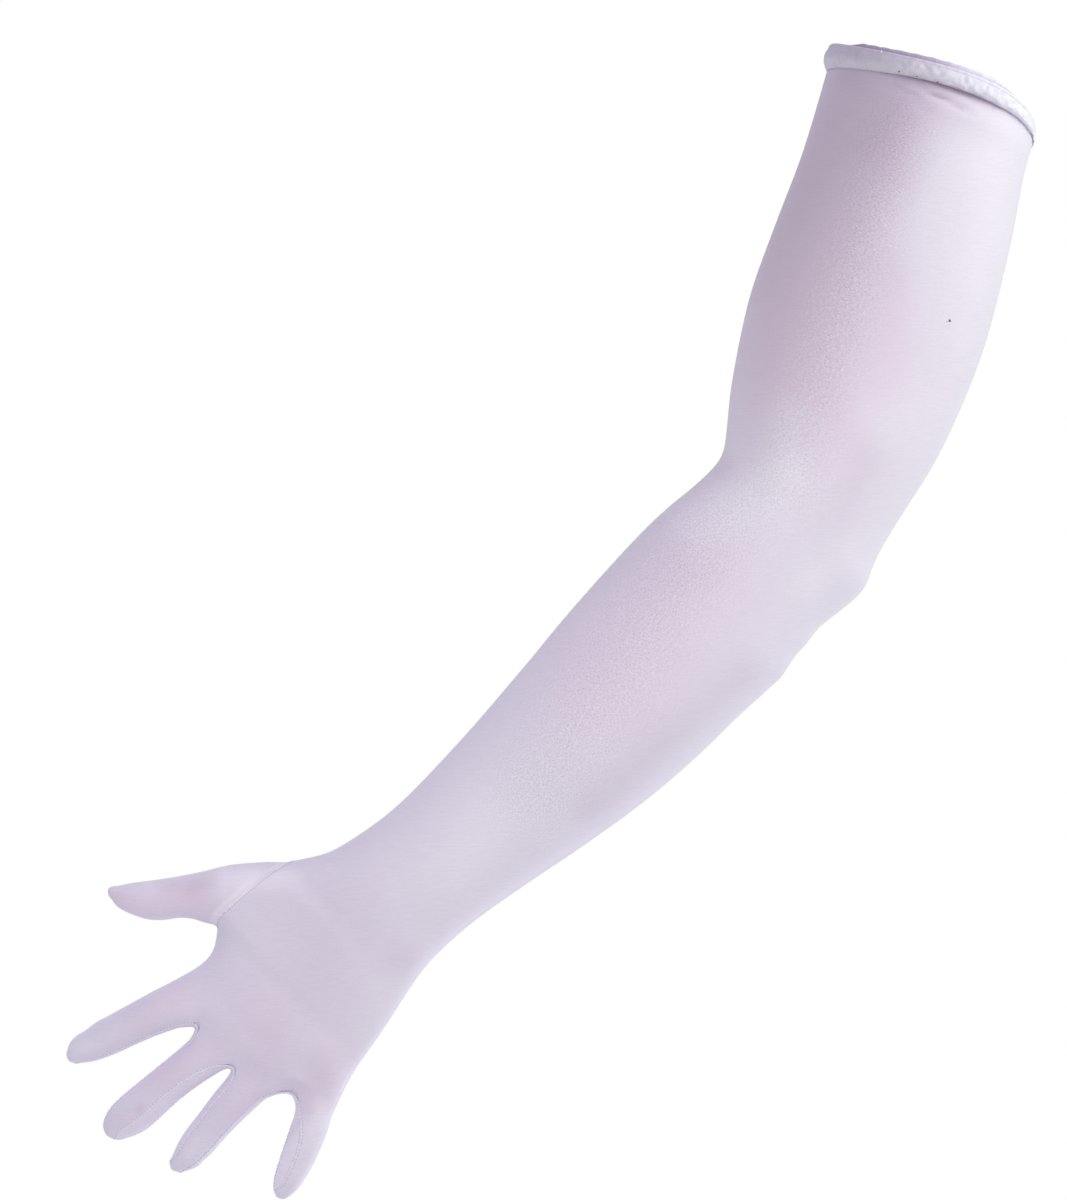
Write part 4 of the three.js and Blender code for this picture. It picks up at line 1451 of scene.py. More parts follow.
@dataclass
class SeamRidges:
    """The thin raised lines where the panels are sewn together."""

    lines: SeamLines
    half_width: float = 0.68
    height: float = 0.20
    thumb_height: float = 0.14
    side_height: float = 0.08
    side_end: Pair = (-562.0, -552.0)
    sunk: float = 0.3
    foot: float = 0.6
    top_steps: int = 4

    def build(self) -> Object:
        """Builds all the ridges as one piece.

        Returns:
            Its object.
        """
        points: list[np.ndarray] = []
        faces: list[Face] = []
        for pair, lines in self.lines.skin.seams.items():
            for line in lines:
                self.sweep(line, pair, points, faces)
        return mesh_object("seam_ridges", np.array(points), faces)

    def rise_at(self, pair: frozenset[Cloth], at: np.ndarray) -> float:
        """Height of a ridge at a point; it is lower down the sleeve's sides.

        Args:
            pair: The two cloths that it joins.
            at: The point in metres.

        Returns:
            The height in millimetres.
        """
        if pair == {Cloth.BACK, Cloth.PALM}:
            share = 1 - ease(self.side_end, at[2] / MM)
            return self.side_height + (self.height - self.side_height) * share
        return self.thumb_height if Cloth.THUMB in pair else self.height

    def sweep(self, line: list[int], pair: frozenset[Cloth], points: list[np.ndarray],
              faces: list[Face]) -> None:
        """Adds one ridge.

        Args:
            line: Its points on the skin.
            pair: The two cloths that it joins.
            points: Where its points go.
            faces: Where its faces go.
        """
        co, normals, sides = self.lines.frame(line)
        arc = [math.pi * k / self.top_steps for k in range(self.top_steps + 1)]
        ring = [(math.cos(a), math.sin(a)) for a in arc] + [(-self.foot, -1.0), (self.foot, -1.0)]
        base = len(points)
        count = len(ring)
        for at, normal, side in zip(co, normals, sides):
            rise = self.rise_at(pair, at)
            for across, up in ring:
                lift = rise * up if up >= 0 else self.sunk * up
                points.append(at + (side * across * self.half_width + normal * lift) * MM)
        for i in range(len(line) - 1):
            a, b = base + i * count, base + (i + 1) * count
            for k in range(count):
                m = (k + 1) % count
                faces.append((a + k, a + m, b + m, b + k))
        end = base + (len(line) - 1) * count
        faces.append(tuple(base + k for k in range(count))[::-1])
        faces.append(tuple(end + k for k in range(count)))


class StitchTree:
    """The Geometry Nodes tree that lays small stitches along a line."""

    segments: int = 6
    rings: int = 4

    def __init__(self) -> None:
        """Builds the tree with its named inputs."""
        self.tree = bpy.data.node_groups.new("stitch_row", "GeometryNodeTree")
        face = self.tree.interface
        face.new_socket("Line", in_out="INPUT", socket_type="NodeSocketGeometry")
        for name in ("Pitch", "Length", "Width", "Height"):
            face.new_socket(name, in_out="INPUT", socket_type="NodeSocketFloat")
        face.new_socket("Thread", in_out="INPUT", socket_type="NodeSocketMaterial")
        face.new_socket("Stitches", in_out="OUTPUT", socket_type="NodeSocketGeometry")
        inputs = (item for item in face.items_tree if getattr(item, "in_out", "") == "INPUT")
        self.sockets = {item.name: item.identifier for item in inputs}
        self.wire()

    def node(self, kind: str) -> Node:
        """Adds a node."""
        return self.tree.nodes.new(kind)

    def wire(self) -> None:
        """Adds the nodes and joins them."""
        enter, leave = self.node("NodeGroupInput"), self.node("NodeGroupOutput")
        curve, resample = self.node("GeometryNodeMeshToCurve"), self.node("GeometryNodeResampleCurve")
        resample.mode = "LENGTH"
        link(enter, "Line", curve, "Mesh")
        link(curve, "Curve", resample, "Curve")
        link(enter, "Pitch", resample, "Length")
        lie, tangent = self.node("GeometryNodeInputNamedAttribute"), self.node("GeometryNodeInputTangent")
        up, ahead = (self.node("FunctionNodeAlignRotationToVector") for _ in range(2))
        lie.data_type = "FLOAT_VECTOR"
        fill(lie, {"Name": "lie"})
        up.axis, ahead.axis, ahead.pivot_axis = "Z", "X", "Z"
        link(lie, "Attribute", up, "Vector")
        link(up, "Rotation", ahead, "Rotation")
        link(tangent, "Tangent", ahead, "Vector")
        bead, size = self.node("GeometryNodeMeshUVSphere"), self.node("ShaderNodeCombineXYZ")
        shape = self.node("GeometryNodeTransform")
        fill(bead, {"Segments": self.segments, "Rings": self.rings, "Radius": 0.5})
        for name, axis in (("Length", "X"), ("Width", "Y"), ("Height", "Z")):
            link(enter, name, size, axis)
        link(bead, "Mesh", shape, "Geometry")
        link(size, "Vector", shape, "Scale")
        place, real = self.node("GeometryNodeInstanceOnPoints"), self.node("GeometryNodeRealizeInstances")
        paint = self.node("GeometryNodeSetMaterial")
        link(resample, "Curve", place, "Points")
        link(shape, "Geometry", place, "Instance")
        link(ahead, "Rotation", place, "Rotation")
        link(place, "Instances", real, "Geometry")
        link(real, "Geometry", paint, "Geometry")
        link(enter, "Thread", paint, "Material")
        link(paint, "Geometry", leave, "Stitches")


@dataclass(frozen=True)
class StitchRow:
    """A row of stitches: sizes in millimetres and how far it lies beside and above its seam."""

    name: str
    pitch: float
    length: float
    width: float
    height: float
    beside: float
    above: float

    def build(self, runs: Iterable[tuple[np.ndarray, np.ndarray, np.ndarray]], tree: StitchTree,
              thread: Material) -> Object:
        """Lays the stitches along the runs.

        Args:
            runs: Places, normals and sideways directions of each line.
            tree: The tree that lays them.
            thread: Their material.

        Returns:
            The stitches as one object.
        """
        points, edges, lie = [], [], []
        for co, normals, sides in runs:
            first = len(points)
            points.extend(co + (sides * self.beside + normals * self.above) * MM)
            lie.extend(normals)
            edges.extend((first + i, first + i + 1) for i in range(len(co) - 1))
        mesh = bpy.data.meshes.new(self.name)
        mesh.from_pydata(np.array(points).tolist(), edges, [])
        attribute = mesh.attributes.new("lie", "FLOAT_VECTOR", "POINT")
        attribute.data.foreach_set("vector", np.array(lie, np.float32).ravel())
        obj = linked(self.name, mesh)
        rows = obj.modifiers.new("rows", "NODES")
        rows.node_group = tree.tree
        sizes = {"Pitch": self.pitch, "Length": self.length, "Width": self.width, "Height": self.height}
        for name, size in sizes.items():
            rows[tree.sockets[name]] = size * MM
        rows[tree.sockets["Thread"]] = thread
        done = realised(obj, self.name)
        done.data.shade_smooth()
        return done


@dataclass(frozen=True)
class Mark:
    """A small bead, placed as the front view shows it: sizes in millimetres, and its turn in degrees."""

    x: float
    z: float
    length: float
    width: float
    height: float
    turn: float


@dataclass
class Marks:
    """Thread ends, stitch dots or specks that lie on the front of the glove."""

    name: str
    spots: tuple[Mark, ...]
    rings: int = 4
    segments: int = 8

    def bead(self) -> tuple[np.ndarray, list[Face]]:
        """A round bead of unit size.

        Returns:
            Its points and faces.
        """
        points = [(0.0, 0.0, 1.0)]
        for ring in range(1, self.rings):
            tilt = math.pi * ring / self.rings
            for k in range(self.segments):
                angle = math.tau * k / self.segments
                around = math.sin(tilt)
                points.append((around * math.cos(angle), around * math.sin(angle), math.cos(tilt)))
        points.append((0.0, 0.0, -1.0))
        last = len(points) - 1
        faces: list[Face] = []
        for k in range(self.segments):
            m = (k + 1) % self.segments
            faces.append((0, 1 + k, 1 + m))
            for ring in range(self.rings - 2):
                upper, lower = 1 + ring * self.segments, 1 + (ring + 1) * self.segments
                faces.append((upper + k, lower + k, lower + m, upper + m))
            faces.append((last, last - self.segments + m, last - self.segments + k))
        return np.array(points) / 2, faces

    def build(self) -> Object:
        """Lays the beads where the eye's lines of sight meet the glove.

        Returns:
            The beads as one object.
        """
        bpy.context.view_layer.update()
        depsgraph = bpy.context.evaluated_depsgraph_get()
        eye = Vector(EYE)
        unit, unit_faces = self.bead()
        points: list[np.ndarray] = []
        faces: list[Face] = []
        for spot in self.spots:
            sight = (Vector((spot.x, 0.0, spot.z)) * MM - eye).normalized()
            found, at, normal, *_ = bpy.context.scene.ray_cast(depsgraph, eye, sight)
            if not found:
                LOG.warning("%s: nothing under the bead at %.1f, %.1f", self.name, spot.x, spot.z)
                continue
            turn = math.radians(spot.turn)
            ahead = Vector((math.cos(turn), 0.0, math.sin(turn)))
            ahead = (ahead - normal * ahead.dot(normal)).normalized()
            side = normal.cross(ahead)
            frame = np.array([ahead * spot.length, side * spot.width, normal * spot.height])
            faces.extend(tuple(len(points) + i for i in face) for face in unit_faces)
            points.extend(np.array(at) + unit @ frame * MM)
        return mesh_object(self.name, np.array(points), faces)


@dataclass(frozen=True)
class Stop:
    """One point of a band's profile: height share, outset, rise and how much of the lumps it takes."""

    share: float
    outset: float
    rise: float = 0.0
    lumps: float = 0.0


@dataclass
class HemBand:
    """The turned hem round the arm opening, with its inner layer standing a little above the fold."""

    sections: tuple[Section, Section, Section] = (
        Section(-40.4, -24.8, 49, 14, 44, 43, 0, 6.8, 2.5),
        Section(-44.4, -20.8, 48.2, 15.8, 44.8, 43.8, 0, 7.2, 3.2),
        Section(-47, -15, 46.6, 18.2, 45, 44, 0, 7, 4.2),
    )
    steps: int = 720
    finer: int = 2
    lump: float = 0.58
    lump_scale: float = 2.5
    lumps_start: Pair = (-34.0, -12.0)
    # The band takes painted light from here towards the front's little finger side
    painted_light_start: Pair = (-34.0, 14.0)
    drift: float = 0.45
    drift_scale: float = 7.0
    dimple: float = 0.30
    dimple_count: int = 34
    dimple_width: float = 0.05
    dimple_share: Pair = (0.2, 0.12)
    scallop: float = 0.24
    scallop_count: int = 34
    tuck: float = 0.9
    end_rise: float = 1.8
    end_from: Pair = (42.0, 49.0)
    frill: float = 0.10
    frill_count: int = 41
    frill_start: Pair = (-43.0, -35.0)
    frill_end: Pair = (18.0, 30.0)
    edge_rise: Pair = (1.60, 2.00)
    edge_start: Pair = (-12.0, 4.0)
    pale_end: Pair = (-12.0, 12.0)
    # Painted light low on the band's thumb side, and painted shade low on the band and under its lip
    low_painted_light: float = 0.45
    low_painted_shade: float = 0.35
    under_lip_shade_share: float = 0.7
    under: float = 0.06
    under_outset: float = 0.75
    nap: float = 0.3
    low_reach: float = 0.3
    # Heights over which that painted light and painted shade fade
    painted_light_low: Pair = (0.2, 0.65)
    painted_shade_low: Pair = (0.0, 0.4)
    wave_shift: float = 2.2
    dimple_shift: float = 0.4
    least_lively: float = 0.1
    back_lively: float = 0.8
    frill_loss: float = 0.8
    frill_out: float = 0.6
    measured_stop: int = 4
    band: tuple[Stop, ...] = (
        Stop(0.00, -3.2), Stop(-0.01, -1.8),
        Stop(-0.02, -0.5), Stop(0.01, 0.30, 0, 0.3),
        Stop(0.07, 0.80, 0, 0.8), Stop(0.15, 1.10, 0, 1),
        Stop(0.26, 1.28, 0, 1), Stop(0.38, 1.34, 0, 1),
        Stop(0.52, 1.30, 0, 1), Stop(0.66, 1.18, 0, 0.9),
        Stop(0.78, 1.02, 0, 0.7), Stop(0.85, 0.86, 0, 0.5),
        Stop(0.90, 0.98, 0, 0.4), Stop(0.96, 0.95, 0, 0.4),
        Stop(1.00, 0.60, 0, 0.4), Stop(1.01, -0.05, 0, 0.3),
        Stop(0.98, -0.70, 0, 0.1), Stop(0.88, -1.15),
        Stop(0.60, -1.25), Stop(0.30, -1.25),
        Stop(0.12, -1.40), Stop(0.06, -3),
    )
    facing: tuple[Stop, ...] = (
        Stop(0.35, -1.45), Stop(0.60, -1.45),
        Stop(0.85, -1.4), Stop(0.97, -1.3, 0.35, 0.3),
        Stop(1.00, -1.2, 1.10, 0.8), Stop(1.00, -1.1, 1.75, 1),
        Stop(1.00, -1.3, 2.25, 1), Stop(1.00, -1.6, 2.25, 1),
        Stop(1.00, -1.8, 1.75, 1), Stop(0.97, -1.85, 0.35, 0.3),
        Stop(0.85, -1.95), Stop(0.35, -1.95),
    )

    def section(self, share: float) -> Section:
        """The section at a height share, on a smooth curve through the three named ones."""
        low, mid, high = (np.array(astuple(row)) for row in self.sections)
        return Section(*(low + (mid - low) * 2 * share + (high - 2 * mid + low) * share * (2 * share - 1)))

    def sweep(self, name: str, profile: Sequence[Stop],
              shape: Callable[[float, Stop, np.ndarray], Pair],
              tone: Callable[[Stop, np.ndarray], tuple[float, ...]]) -> Object:
        """Sweeps a closed profile round the opening.

        Args:
            name: The piece's name.
            profile: Its stops, from the lower edge over the outside.
            shape: Gives the extra outset and rise at an angle, a stop and a point.
            tone: Gives the masks at a stop and a point.

        Returns:
            The piece, with the knit's coordinates.
        """
        profile = self.finer_profile(profile)
        rows = [self.section(stop.share) for stop in profile]
        ups = []
        for row in rows:
            length = math.hypot(row.rx - row.lx, row.rz - row.lz)
            ups.append(np.array([-(row.rz - row.lz) / length, 0.0, (row.rx - row.lx) / length]))
        points, masks = [], []
        for i in range(self.steps):
            angle = math.tau * i / self.steps
            for stop, row, up in zip(profile, rows, ups):
                plain = section_point(row, angle, ROUND, stop.outset)
                out, rise = shape(angle, stop, plain)
                points.append(section_point(row, angle, ROUND, stop.outset + out) + up * (stop.rise + rise))
                masks.append(tone(stop, plain))
        count = len(profile)
        faces, uvs = [], []
        places = np.array(points).reshape(self.steps, count, 3)
        run, rise = self.passed(places[:, self.measured_stop]), self.passed(places[0])
        for i in range(self.steps):
            j = (i + 1) % self.steps
            for k in range(count):
                m = (k + 1) % count
                faces.append((i * count + k, j * count + k, j * count + m, i * count + m))
                (u0, u1), (v0, v1) = run[i:i + 2], rise[k:k + 2]
                uvs.append(((u0, v0), (u1, v0), (u1, v1), (u0, v1)))
        obj = mesh_object(name, np.array(points) * MM, faces)
        layer = obj.data.uv_layers.new(name="knit")
        layer.data.foreach_set("uv", (np.array(uvs, np.float32) * MM).ravel())
        for mask, numbers in zip(MASKS, np.array(masks).T):
            values(obj.data, mask, numbers)
        return obj

    @staticmethod
    def passed(places: np.ndarray) -> np.ndarray:
        """Length of the way round a closed line of points at each of them and back at the first."""
        steps = np.linalg.norm(np.roll(places, -1, axis=0) - places, axis=1)
        return np.concatenate([[0.0], np.cumsum(steps)])

    def finer_profile(self, profile: Sequence[Stop]) -> list[Stop]:
        """The closed profile with stops in between, on a smooth curve.

        Args:
            profile: Its own stops.

        Returns:
            All the stops.
        """
        table = np.array([astuple(stop) for stop in profile])
        out = []
        for i in range(len(table)):
            before, here, after, beyond = (table[(i + k) % len(table)] for k in (-1, 0, 1, 2))
            for k in range(self.finer):
                t = k / self.finer
                smooth = 2 * here + (after - before) * t
                smooth += (2 * before - 5 * here + 4 * after - beyond) * t * t
                smooth += (3 * here - before - 3 * after + beyond) * t**3
                out.append(Stop(*(smooth / 2)))
        return out

    def drift_at(self, at: np.ndarray) -> float:
        """The slow unevenness at a point, from -1 to 1."""
        return noise.noise(Vector(at) / self.drift_scale)

    def wave(self, angle: float, count: int, at: np.ndarray) -> float:
        """A wave with a number of crests round the opening, made uneven."""
        return math.sin(count * angle + self.wave_shift * self.drift_at(at))

    def lively(self, at: np.ndarray) -> float:
        """How puffy the band is at a point, from 0 to 1."""
        front = self.least_lively + (1 - self.least_lively) * ease(self.lumps_start, at[0])
        return front if at[1] < 0 else self.back_lively

    def build_band(self) -> Object:
        """Builds the lumpy outer band.

        Returns:
            Its object.
        """

        def shape(angle: float, stop: Stop, at: np.ndarray) -> Pair:
            """How far a point is moved.

            Args:
                angle: Its angle round the opening.
                stop: Its stop.
                at: Its place in millimetres.

            Returns:
                Its extra outset and rise.
            """
            lively = self.lively(at)
            lumps = self.lump * noise.noise(Vector(at) / self.lump_scale)
            lumps += self.drift * self.drift_at(at)
            turn = angle * self.dimple_count / math.tau + self.dimple_shift * self.drift_at(at)
            off = abs(turn - round(turn)) / self.dimple_count * math.tau / self.dimple_width
            middle, reach = self.dimple_share
            lumps -= self.dimple * math.exp(-off * off) * math.exp(-(((stop.share - middle) / reach) ** 2))
            near = max(0.0, 1 - stop.share / self.low_reach)
            low = near if stop.outset > 0 else 0.0
            tuck = low * stop.outset * self.tuck * (1 - float(HEM_LINE.overhang(at * MM)))
            rise = near * float(HEM_LINE.rise(at * MM)) + low * self.end_rise * ease(self.end_from, at[0])
            rise += low * lively * self.scallop * self.wave(angle, self.scallop_count, at)
            return stop.lumps * lively * lumps - tuck, rise

        def tone(stop: Stop, at: np.ndarray) -> tuple[float, ...]:
            """Masks of a point: painted light over the back and on the front towards the little finger side,
            painted light low on the front's thumb side, and painted shade under the lip and low on the band.

            Args:
                stop: Its stop.
                at: Its place in millimetres.

            Returns:
                One number for each of MASKS.
            """
            # Painted shade under the lip; painted light over the back and towards the front's little finger
            # side; painted shade low on the band
            under = ease((-self.under, 0.0), -stop.share) if stop.outset < self.under_outset else 0.0
            bright = ease(self.painted_light_start, at[0]) if at[1] < 0 else 1.0
            pale = bright + (1 - bright) * self.low_painted_light * (1 - ease(self.painted_light_low, stop.share))
            painted_shade = max(self.under_lip_shade_share * under, self.low_painted_shade * (1 - ease(self.painted_shade_low, stop.share)))
            return 0.0, pale, painted_shade * float(HEM_LINE.dusk(at * MM)), self.nap

        return self.sweep("cuff_hem_cloth", self.band, shape, tone)

    def build_facing(self) -> Object:
        """Builds the frilly inner layer.

        Returns:
            Its object.
        """

        def shape(angle: float, stop: Stop, at: np.ndarray) -> Pair:
            """How far a point is moved.

            Args:
                angle: Its angle round the opening.
                stop: Its stop.
                at: Its place in millimetres.

            Returns:
                Its extra outset and rise.
            """
            stand = (1 - ease(self.frill_end, at[0]) * self.frill_loss) * ease(self.frill_start, at[0])
            frill = self.frill * stand * self.wave(angle, self.frill_count, at)
            return stop.lumps * frill * self.frill_out, stop.lumps * frill - stop.rise * (1 - stand)

        def tone(stop: Stop, at: np.ndarray) -> tuple[float, ...]:
            """Masks of a point.

            Args:
                stop: Its stop.
                at: Its place in millimetres.

            Returns:
                One number for each of MASKS.
            """
            edge = ease(self.edge_rise, stop.rise) * ease(self.edge_start, at[0])
            edge = max(edge, ease(self.pale_end, at[0]))
            return 1.0 - edge, edge, 0.0, self.nap

        return self.sweep("hem_facing_cloth", self.facing, shape, tone)


VECTOR, NUMBER, COLOUR = "NodeSocketVector", "NodeSocketFloat", "NodeSocketColor"


class Groups:
    """Shader node groups that the finishes share."""

    row_detail: float = 2.0
    row_distortion: float = 0.5
    fuzz_share: float = 0.20
    cloud_detail: float = 3.0
    mix_sockets: tuple[int, int, int] = (6, 7, 2)

    def __init__(self) -> None:
        """Builds each group once."""
        self.grain = self.build_grain()
        self.mottle = self.build_mottle()
        self.strain = self.build_strain()
        self.tone = self.build_tone()

    @staticmethod
    def group(name: str, inputs: Sequence[tuple[str, str]], outputs: Sequence[tuple[str, str]]) -> tuple:
        """Starts a group.

        Args:
            name: Its name.
            inputs: Names and kinds of its inputs.
            outputs: The same of its outputs.

        Returns:
            The tree, its input node and its output node.
        """
        tree = bpy.data.node_groups.new(name, "ShaderNodeTree")
        for label, kind in inputs:
            tree.interface.new_socket(label, in_out="INPUT", socket_type=kind)
        for label, kind in outputs:
            tree.interface.new_socket(label, in_out="OUTPUT", socket_type=kind)
        return tree, tree.nodes.new("NodeGroupInput"), tree.nodes.new("NodeGroupOutput")

    @staticmethod
    def math(tree: NodeTree, operation: str, *taken: object) -> NodeSocket:
        """Adds a Math node.

        Args:
            tree: The tree.
            operation: What it works out.
            taken: Its inputs, sockets or numbers.

        Returns:
            Its output.
        """
        node = tree.nodes.new("ShaderNodeMath")
        node.operation = operation
        for i, value in enumerate(taken):
            if isinstance(value, NodeSocket):
                tree.links.new(value, node.inputs[i])
            else:
                node.inputs[i].default_value = value
        return node.outputs[0]

    @staticmethod
    def noise(tree: NodeTree, place: NodeSocket, detail: float,
              dimensions: str = "2D") -> Node:
        """Adds a Noise node.

        Args:
            tree: The tree.
            place: Where the noise is read.
            detail: How much finer noise is laid over it.
            dimensions: 2D or 3D.

        Returns:
            The node.
        """
        node = tree.nodes.new("ShaderNodeTexNoise")
        node.noise_dimensions = dimensions
        fill(node, {"Scale": 1.0, "Detail": detail})
        tree.links.new(place, node.inputs["Vector"])
        return node

    def signed(self, node: Node) -> NodeSocket:
        """The strength of a Noise node, from -1 to 1."""
        return self.math(node.id_data, "MULTIPLY_ADD", node.outputs["Fac"], 2.0, -1.0)

    def build_grain(self) -> NodeTree:
        """Fine uneven rows of knit loops with a finer fuzz, from the knit's coordinates in metres.

        Returns:
            The group.
        """
        tree, enter, leave = self.group(
            "knit_grain",
            [("Knit", VECTOR), ("Row", NUMBER), ("Stretch", NUMBER), ("Fuzz", NUMBER), ("Nap", NUMBER)],
            [("Height", NUMBER), ("Shade", NUMBER)],
        )
        knit, nap = enter.outputs["Knit"], enter.outputs["Nap"]
        split, place = tree.nodes.new("ShaderNodeSeparateXYZ"), tree.nodes.new("ShaderNodeCombineXYZ")
        tree.links.new(knit, split.inputs[0])
        per_row = self.math(tree, "DIVIDE", 1 / MM, enter.outputs["Row"])
        per_run = self.math(tree, "DIVIDE", per_row, enter.outputs["Stretch"])
        for i, scale in enumerate((per_run, per_row)):
            tree.links.new(self.math(tree, "MULTIPLY", split.outputs[i], scale), place.inputs[i])
        rows = self.noise(tree, place.outputs[0], self.row_detail)
        fill(rows, {"Distortion": self.row_distortion})
        fuzz = self.noise(tree, knit, 1.0)
        tree.links.new(self.math(tree, "DIVIDE", 1 / MM, enter.outputs["Fuzz"]), fuzz.inputs["Scale"])
        height = self.math(tree, "MULTIPLY_ADD", fuzz.outputs["Fac"], self.fuzz_share, rows.outputs["Fac"])
        tree.links.new(self.math(tree, "MULTIPLY", height, nap), leave.inputs["Height"])
        tree.links.new(self.math(tree, "MULTIPLY", self.signed(rows), nap), leave.inputs["Shade"])
        return tree

    def build_strain(self) -> NodeTree:
        """Faint long lines where the cloth is strained, an eighth of a turn from the glove's length.

        Returns:
            The group.
        """
        tree, enter, leave = self.group(
            "strain_lines", [("Place", VECTOR), ("Length", NUMBER), ("Width", NUMBER)], [("Shade", NUMBER)],
        )
        split, place = tree.nodes.new("ShaderNodeSeparateXYZ"), tree.nodes.new("ShaderNodeCombineXYZ")
        link(enter, "Place", split, 0)
        along = self.math(tree, "ADD", split.outputs[2], split.outputs[0])
        across = self.math(tree, "SUBTRACT", split.outputs[2], split.outputs[0])
        for way, size, into in ((along, "Length", 0), (across, "Width", 1)):
            scale = self.math(tree, "DIVIDE", EIGHTH / MM, enter.outputs[size])
            tree.links.new(self.math(tree, "MULTIPLY", way, scale), place.inputs[into])
        lines = self.noise(tree, place.outputs[0], 1.0)
        tree.links.new(self.signed(lines), leave.inputs["Shade"])
        return tree

    def build_mottle(self) -> NodeTree:
        """Large soft clouds of tone, from -1 to 1.

        Returns:
            The group.
        """
        inputs = [("Place", VECTOR), ("Size", NUMBER)]
        tree, enter, leave = self.group("soft_mottle", inputs, [("Cloud", NUMBER)])
        cloud = self.noise(tree, enter.outputs["Place"], self.cloud_detail, "3D")
        tree.links.new(self.math(tree, "DIVIDE", 1 / MM, enter.outputs["Size"]), cloud.inputs["Scale"])
        tree.links.new(self.signed(cloud), leave.inputs["Cloud"])
        return tree

    def build_tone(self) -> NodeTree:
        """Mixes the cloth's colours by its masks, which lay painted light and painted shade as well as the
        pink flush, and varies how light they are.

        Returns:
            The group.
        """
        colours = ("Base", "Warm", "Double", "Deep")
        numbers = ("Flush", "Allowance", "Crease", "Grain", "Cloud", "Strain",
                   "Grain share", "Cloud share", "Strain share")
        inputs = [(label, COLOUR) for label in colours] + [(label, NUMBER) for label in numbers]
        tree, enter, leave = self.group("cloth_tone", inputs, [("Colour", COLOUR)])
        colour = enter.outputs["Base"]
        first, second, mixed = self.mix_sockets
        for mask, over in (("Flush", "Warm"), ("Allowance", "Double"), ("Crease", "Deep")):
            node = tree.nodes.new("ShaderNodeMix")
            node.data_type = "RGBA"
            link(enter, mask, node, "Factor")
            tree.links.new(colour, node.inputs[first])
            link(enter, over, node, second)
            colour = node.outputs[mixed]
        light = 1.0
        for change in ("Grain", "Cloud", "Strain"):
            share = enter.outputs[change + " share"]
            light = self.math(tree, "MULTIPLY_ADD", enter.outputs[change], share, light)
        scale = tree.nodes.new("ShaderNodeVectorMath")
        scale.operation = "SCALE"
        tree.links.new(colour, scale.inputs[0])
        tree.links.new(light, scale.inputs["Scale"])
        link(scale, 0, leave, "Colour")
        return tree


SHEEN_ROUGH = 0.4


@dataclass(frozen=True)
class KnitFinish:
    """A finish of satin knit; sizes in millimetres."""

    name: str
    # Colours: base, pink flush, lighter doubled cloth that also carries painted light, and painted shade
    base: Triple
    warm: Triple
    doubled_and_painted_light: Triple
    painted_shade: Triple
    row: float = 0.42
    stretch: float = 2.4
    fuzz: float = 0.4
    relief: float = 0.20
    grain_share: float = 0.52
    strain_length: float = 7.0
    strain_width: float = 0.9
    strain_share: float = 0.035
    cloud: float = 60.0
    cloud_share: float = 0.03
    rough: float = 0.55
    rough_share: float = 0.05
    sheen: float = 0.6
    specular: float = 0.35

    def build(self, groups: Groups) -> Material:
        """Builds the material.

        Args:
            groups: The shared node groups.

        Returns:
            The material.
        """
        material, tree, shader = new_material(self.name)
        place, knit = tree.nodes.new("ShaderNodeTexCoord"), tree.nodes.new("ShaderNodeUVMap")
        knit.uv_map = "knit"
        grain, mottle, strain, tone = (tree.nodes.new("ShaderNodeGroup") for _ in range(4))
        grain.node_tree, mottle.node_tree = groups.grain, groups.mottle
        strain.node_tree, tone.node_tree = groups.strain, groups.tone
        link(knit, "UV", grain, "Knit")
        for group in (mottle, strain):
            link(place, "Object", group, "Place")
        fill(grain, {"Row": self.row, "Stretch": self.stretch, "Fuzz": self.fuzz})
        fill(mottle, {"Size": self.cloud})
        fill(strain, {"Length": self.strain_length, "Width": self.strain_width})
        fill(tone, {"Base": self.base, "Warm": self.warm, "Double": self.doubled_and_painted_light, "Deep": self.painted_shade})
        fill(tone, {"Grain share": self.grain_share, "Cloud share": self.cloud_share,
                    "Strain share": self.strain_share})
        masked = {"Flush": tone, "Allowance": tone, "Crease": tone, "Nap": grain}
        for (label, group), name in zip(masked.items(), MASKS):
            mask = tree.nodes.new("ShaderNodeAttribute")
            mask.attribute_name = name
            link(mask, "Fac", group, label)
        link(grain, "Shade", tone, "Grain")
        link(mottle, "Cloud", tone, "Cloud")
        link(strain, "Shade", tone, "Strain")
        link(tone, "Colour", shader, "Base Color")
        rough = groups.math(tree, "MULTIPLY_ADD", mottle.outputs["Cloud"], self.rough_share, self.rough)
        tree.links.new(rough, shader.inputs["Roughness"])
        bump = tree.nodes.new("ShaderNodeBump")
        fill(bump, {"Strength": 1.0, "Distance": self.relief * MM})
        link(grain, "Height", bump, "Height")
        link(bump, "Normal", shader, "Normal")
        fill(shader, {"Sheen Weight": self.sheen, "Sheen Roughness": SHEEN_ROUGH,
                      "Specular IOR Level": self.specular})
        return material


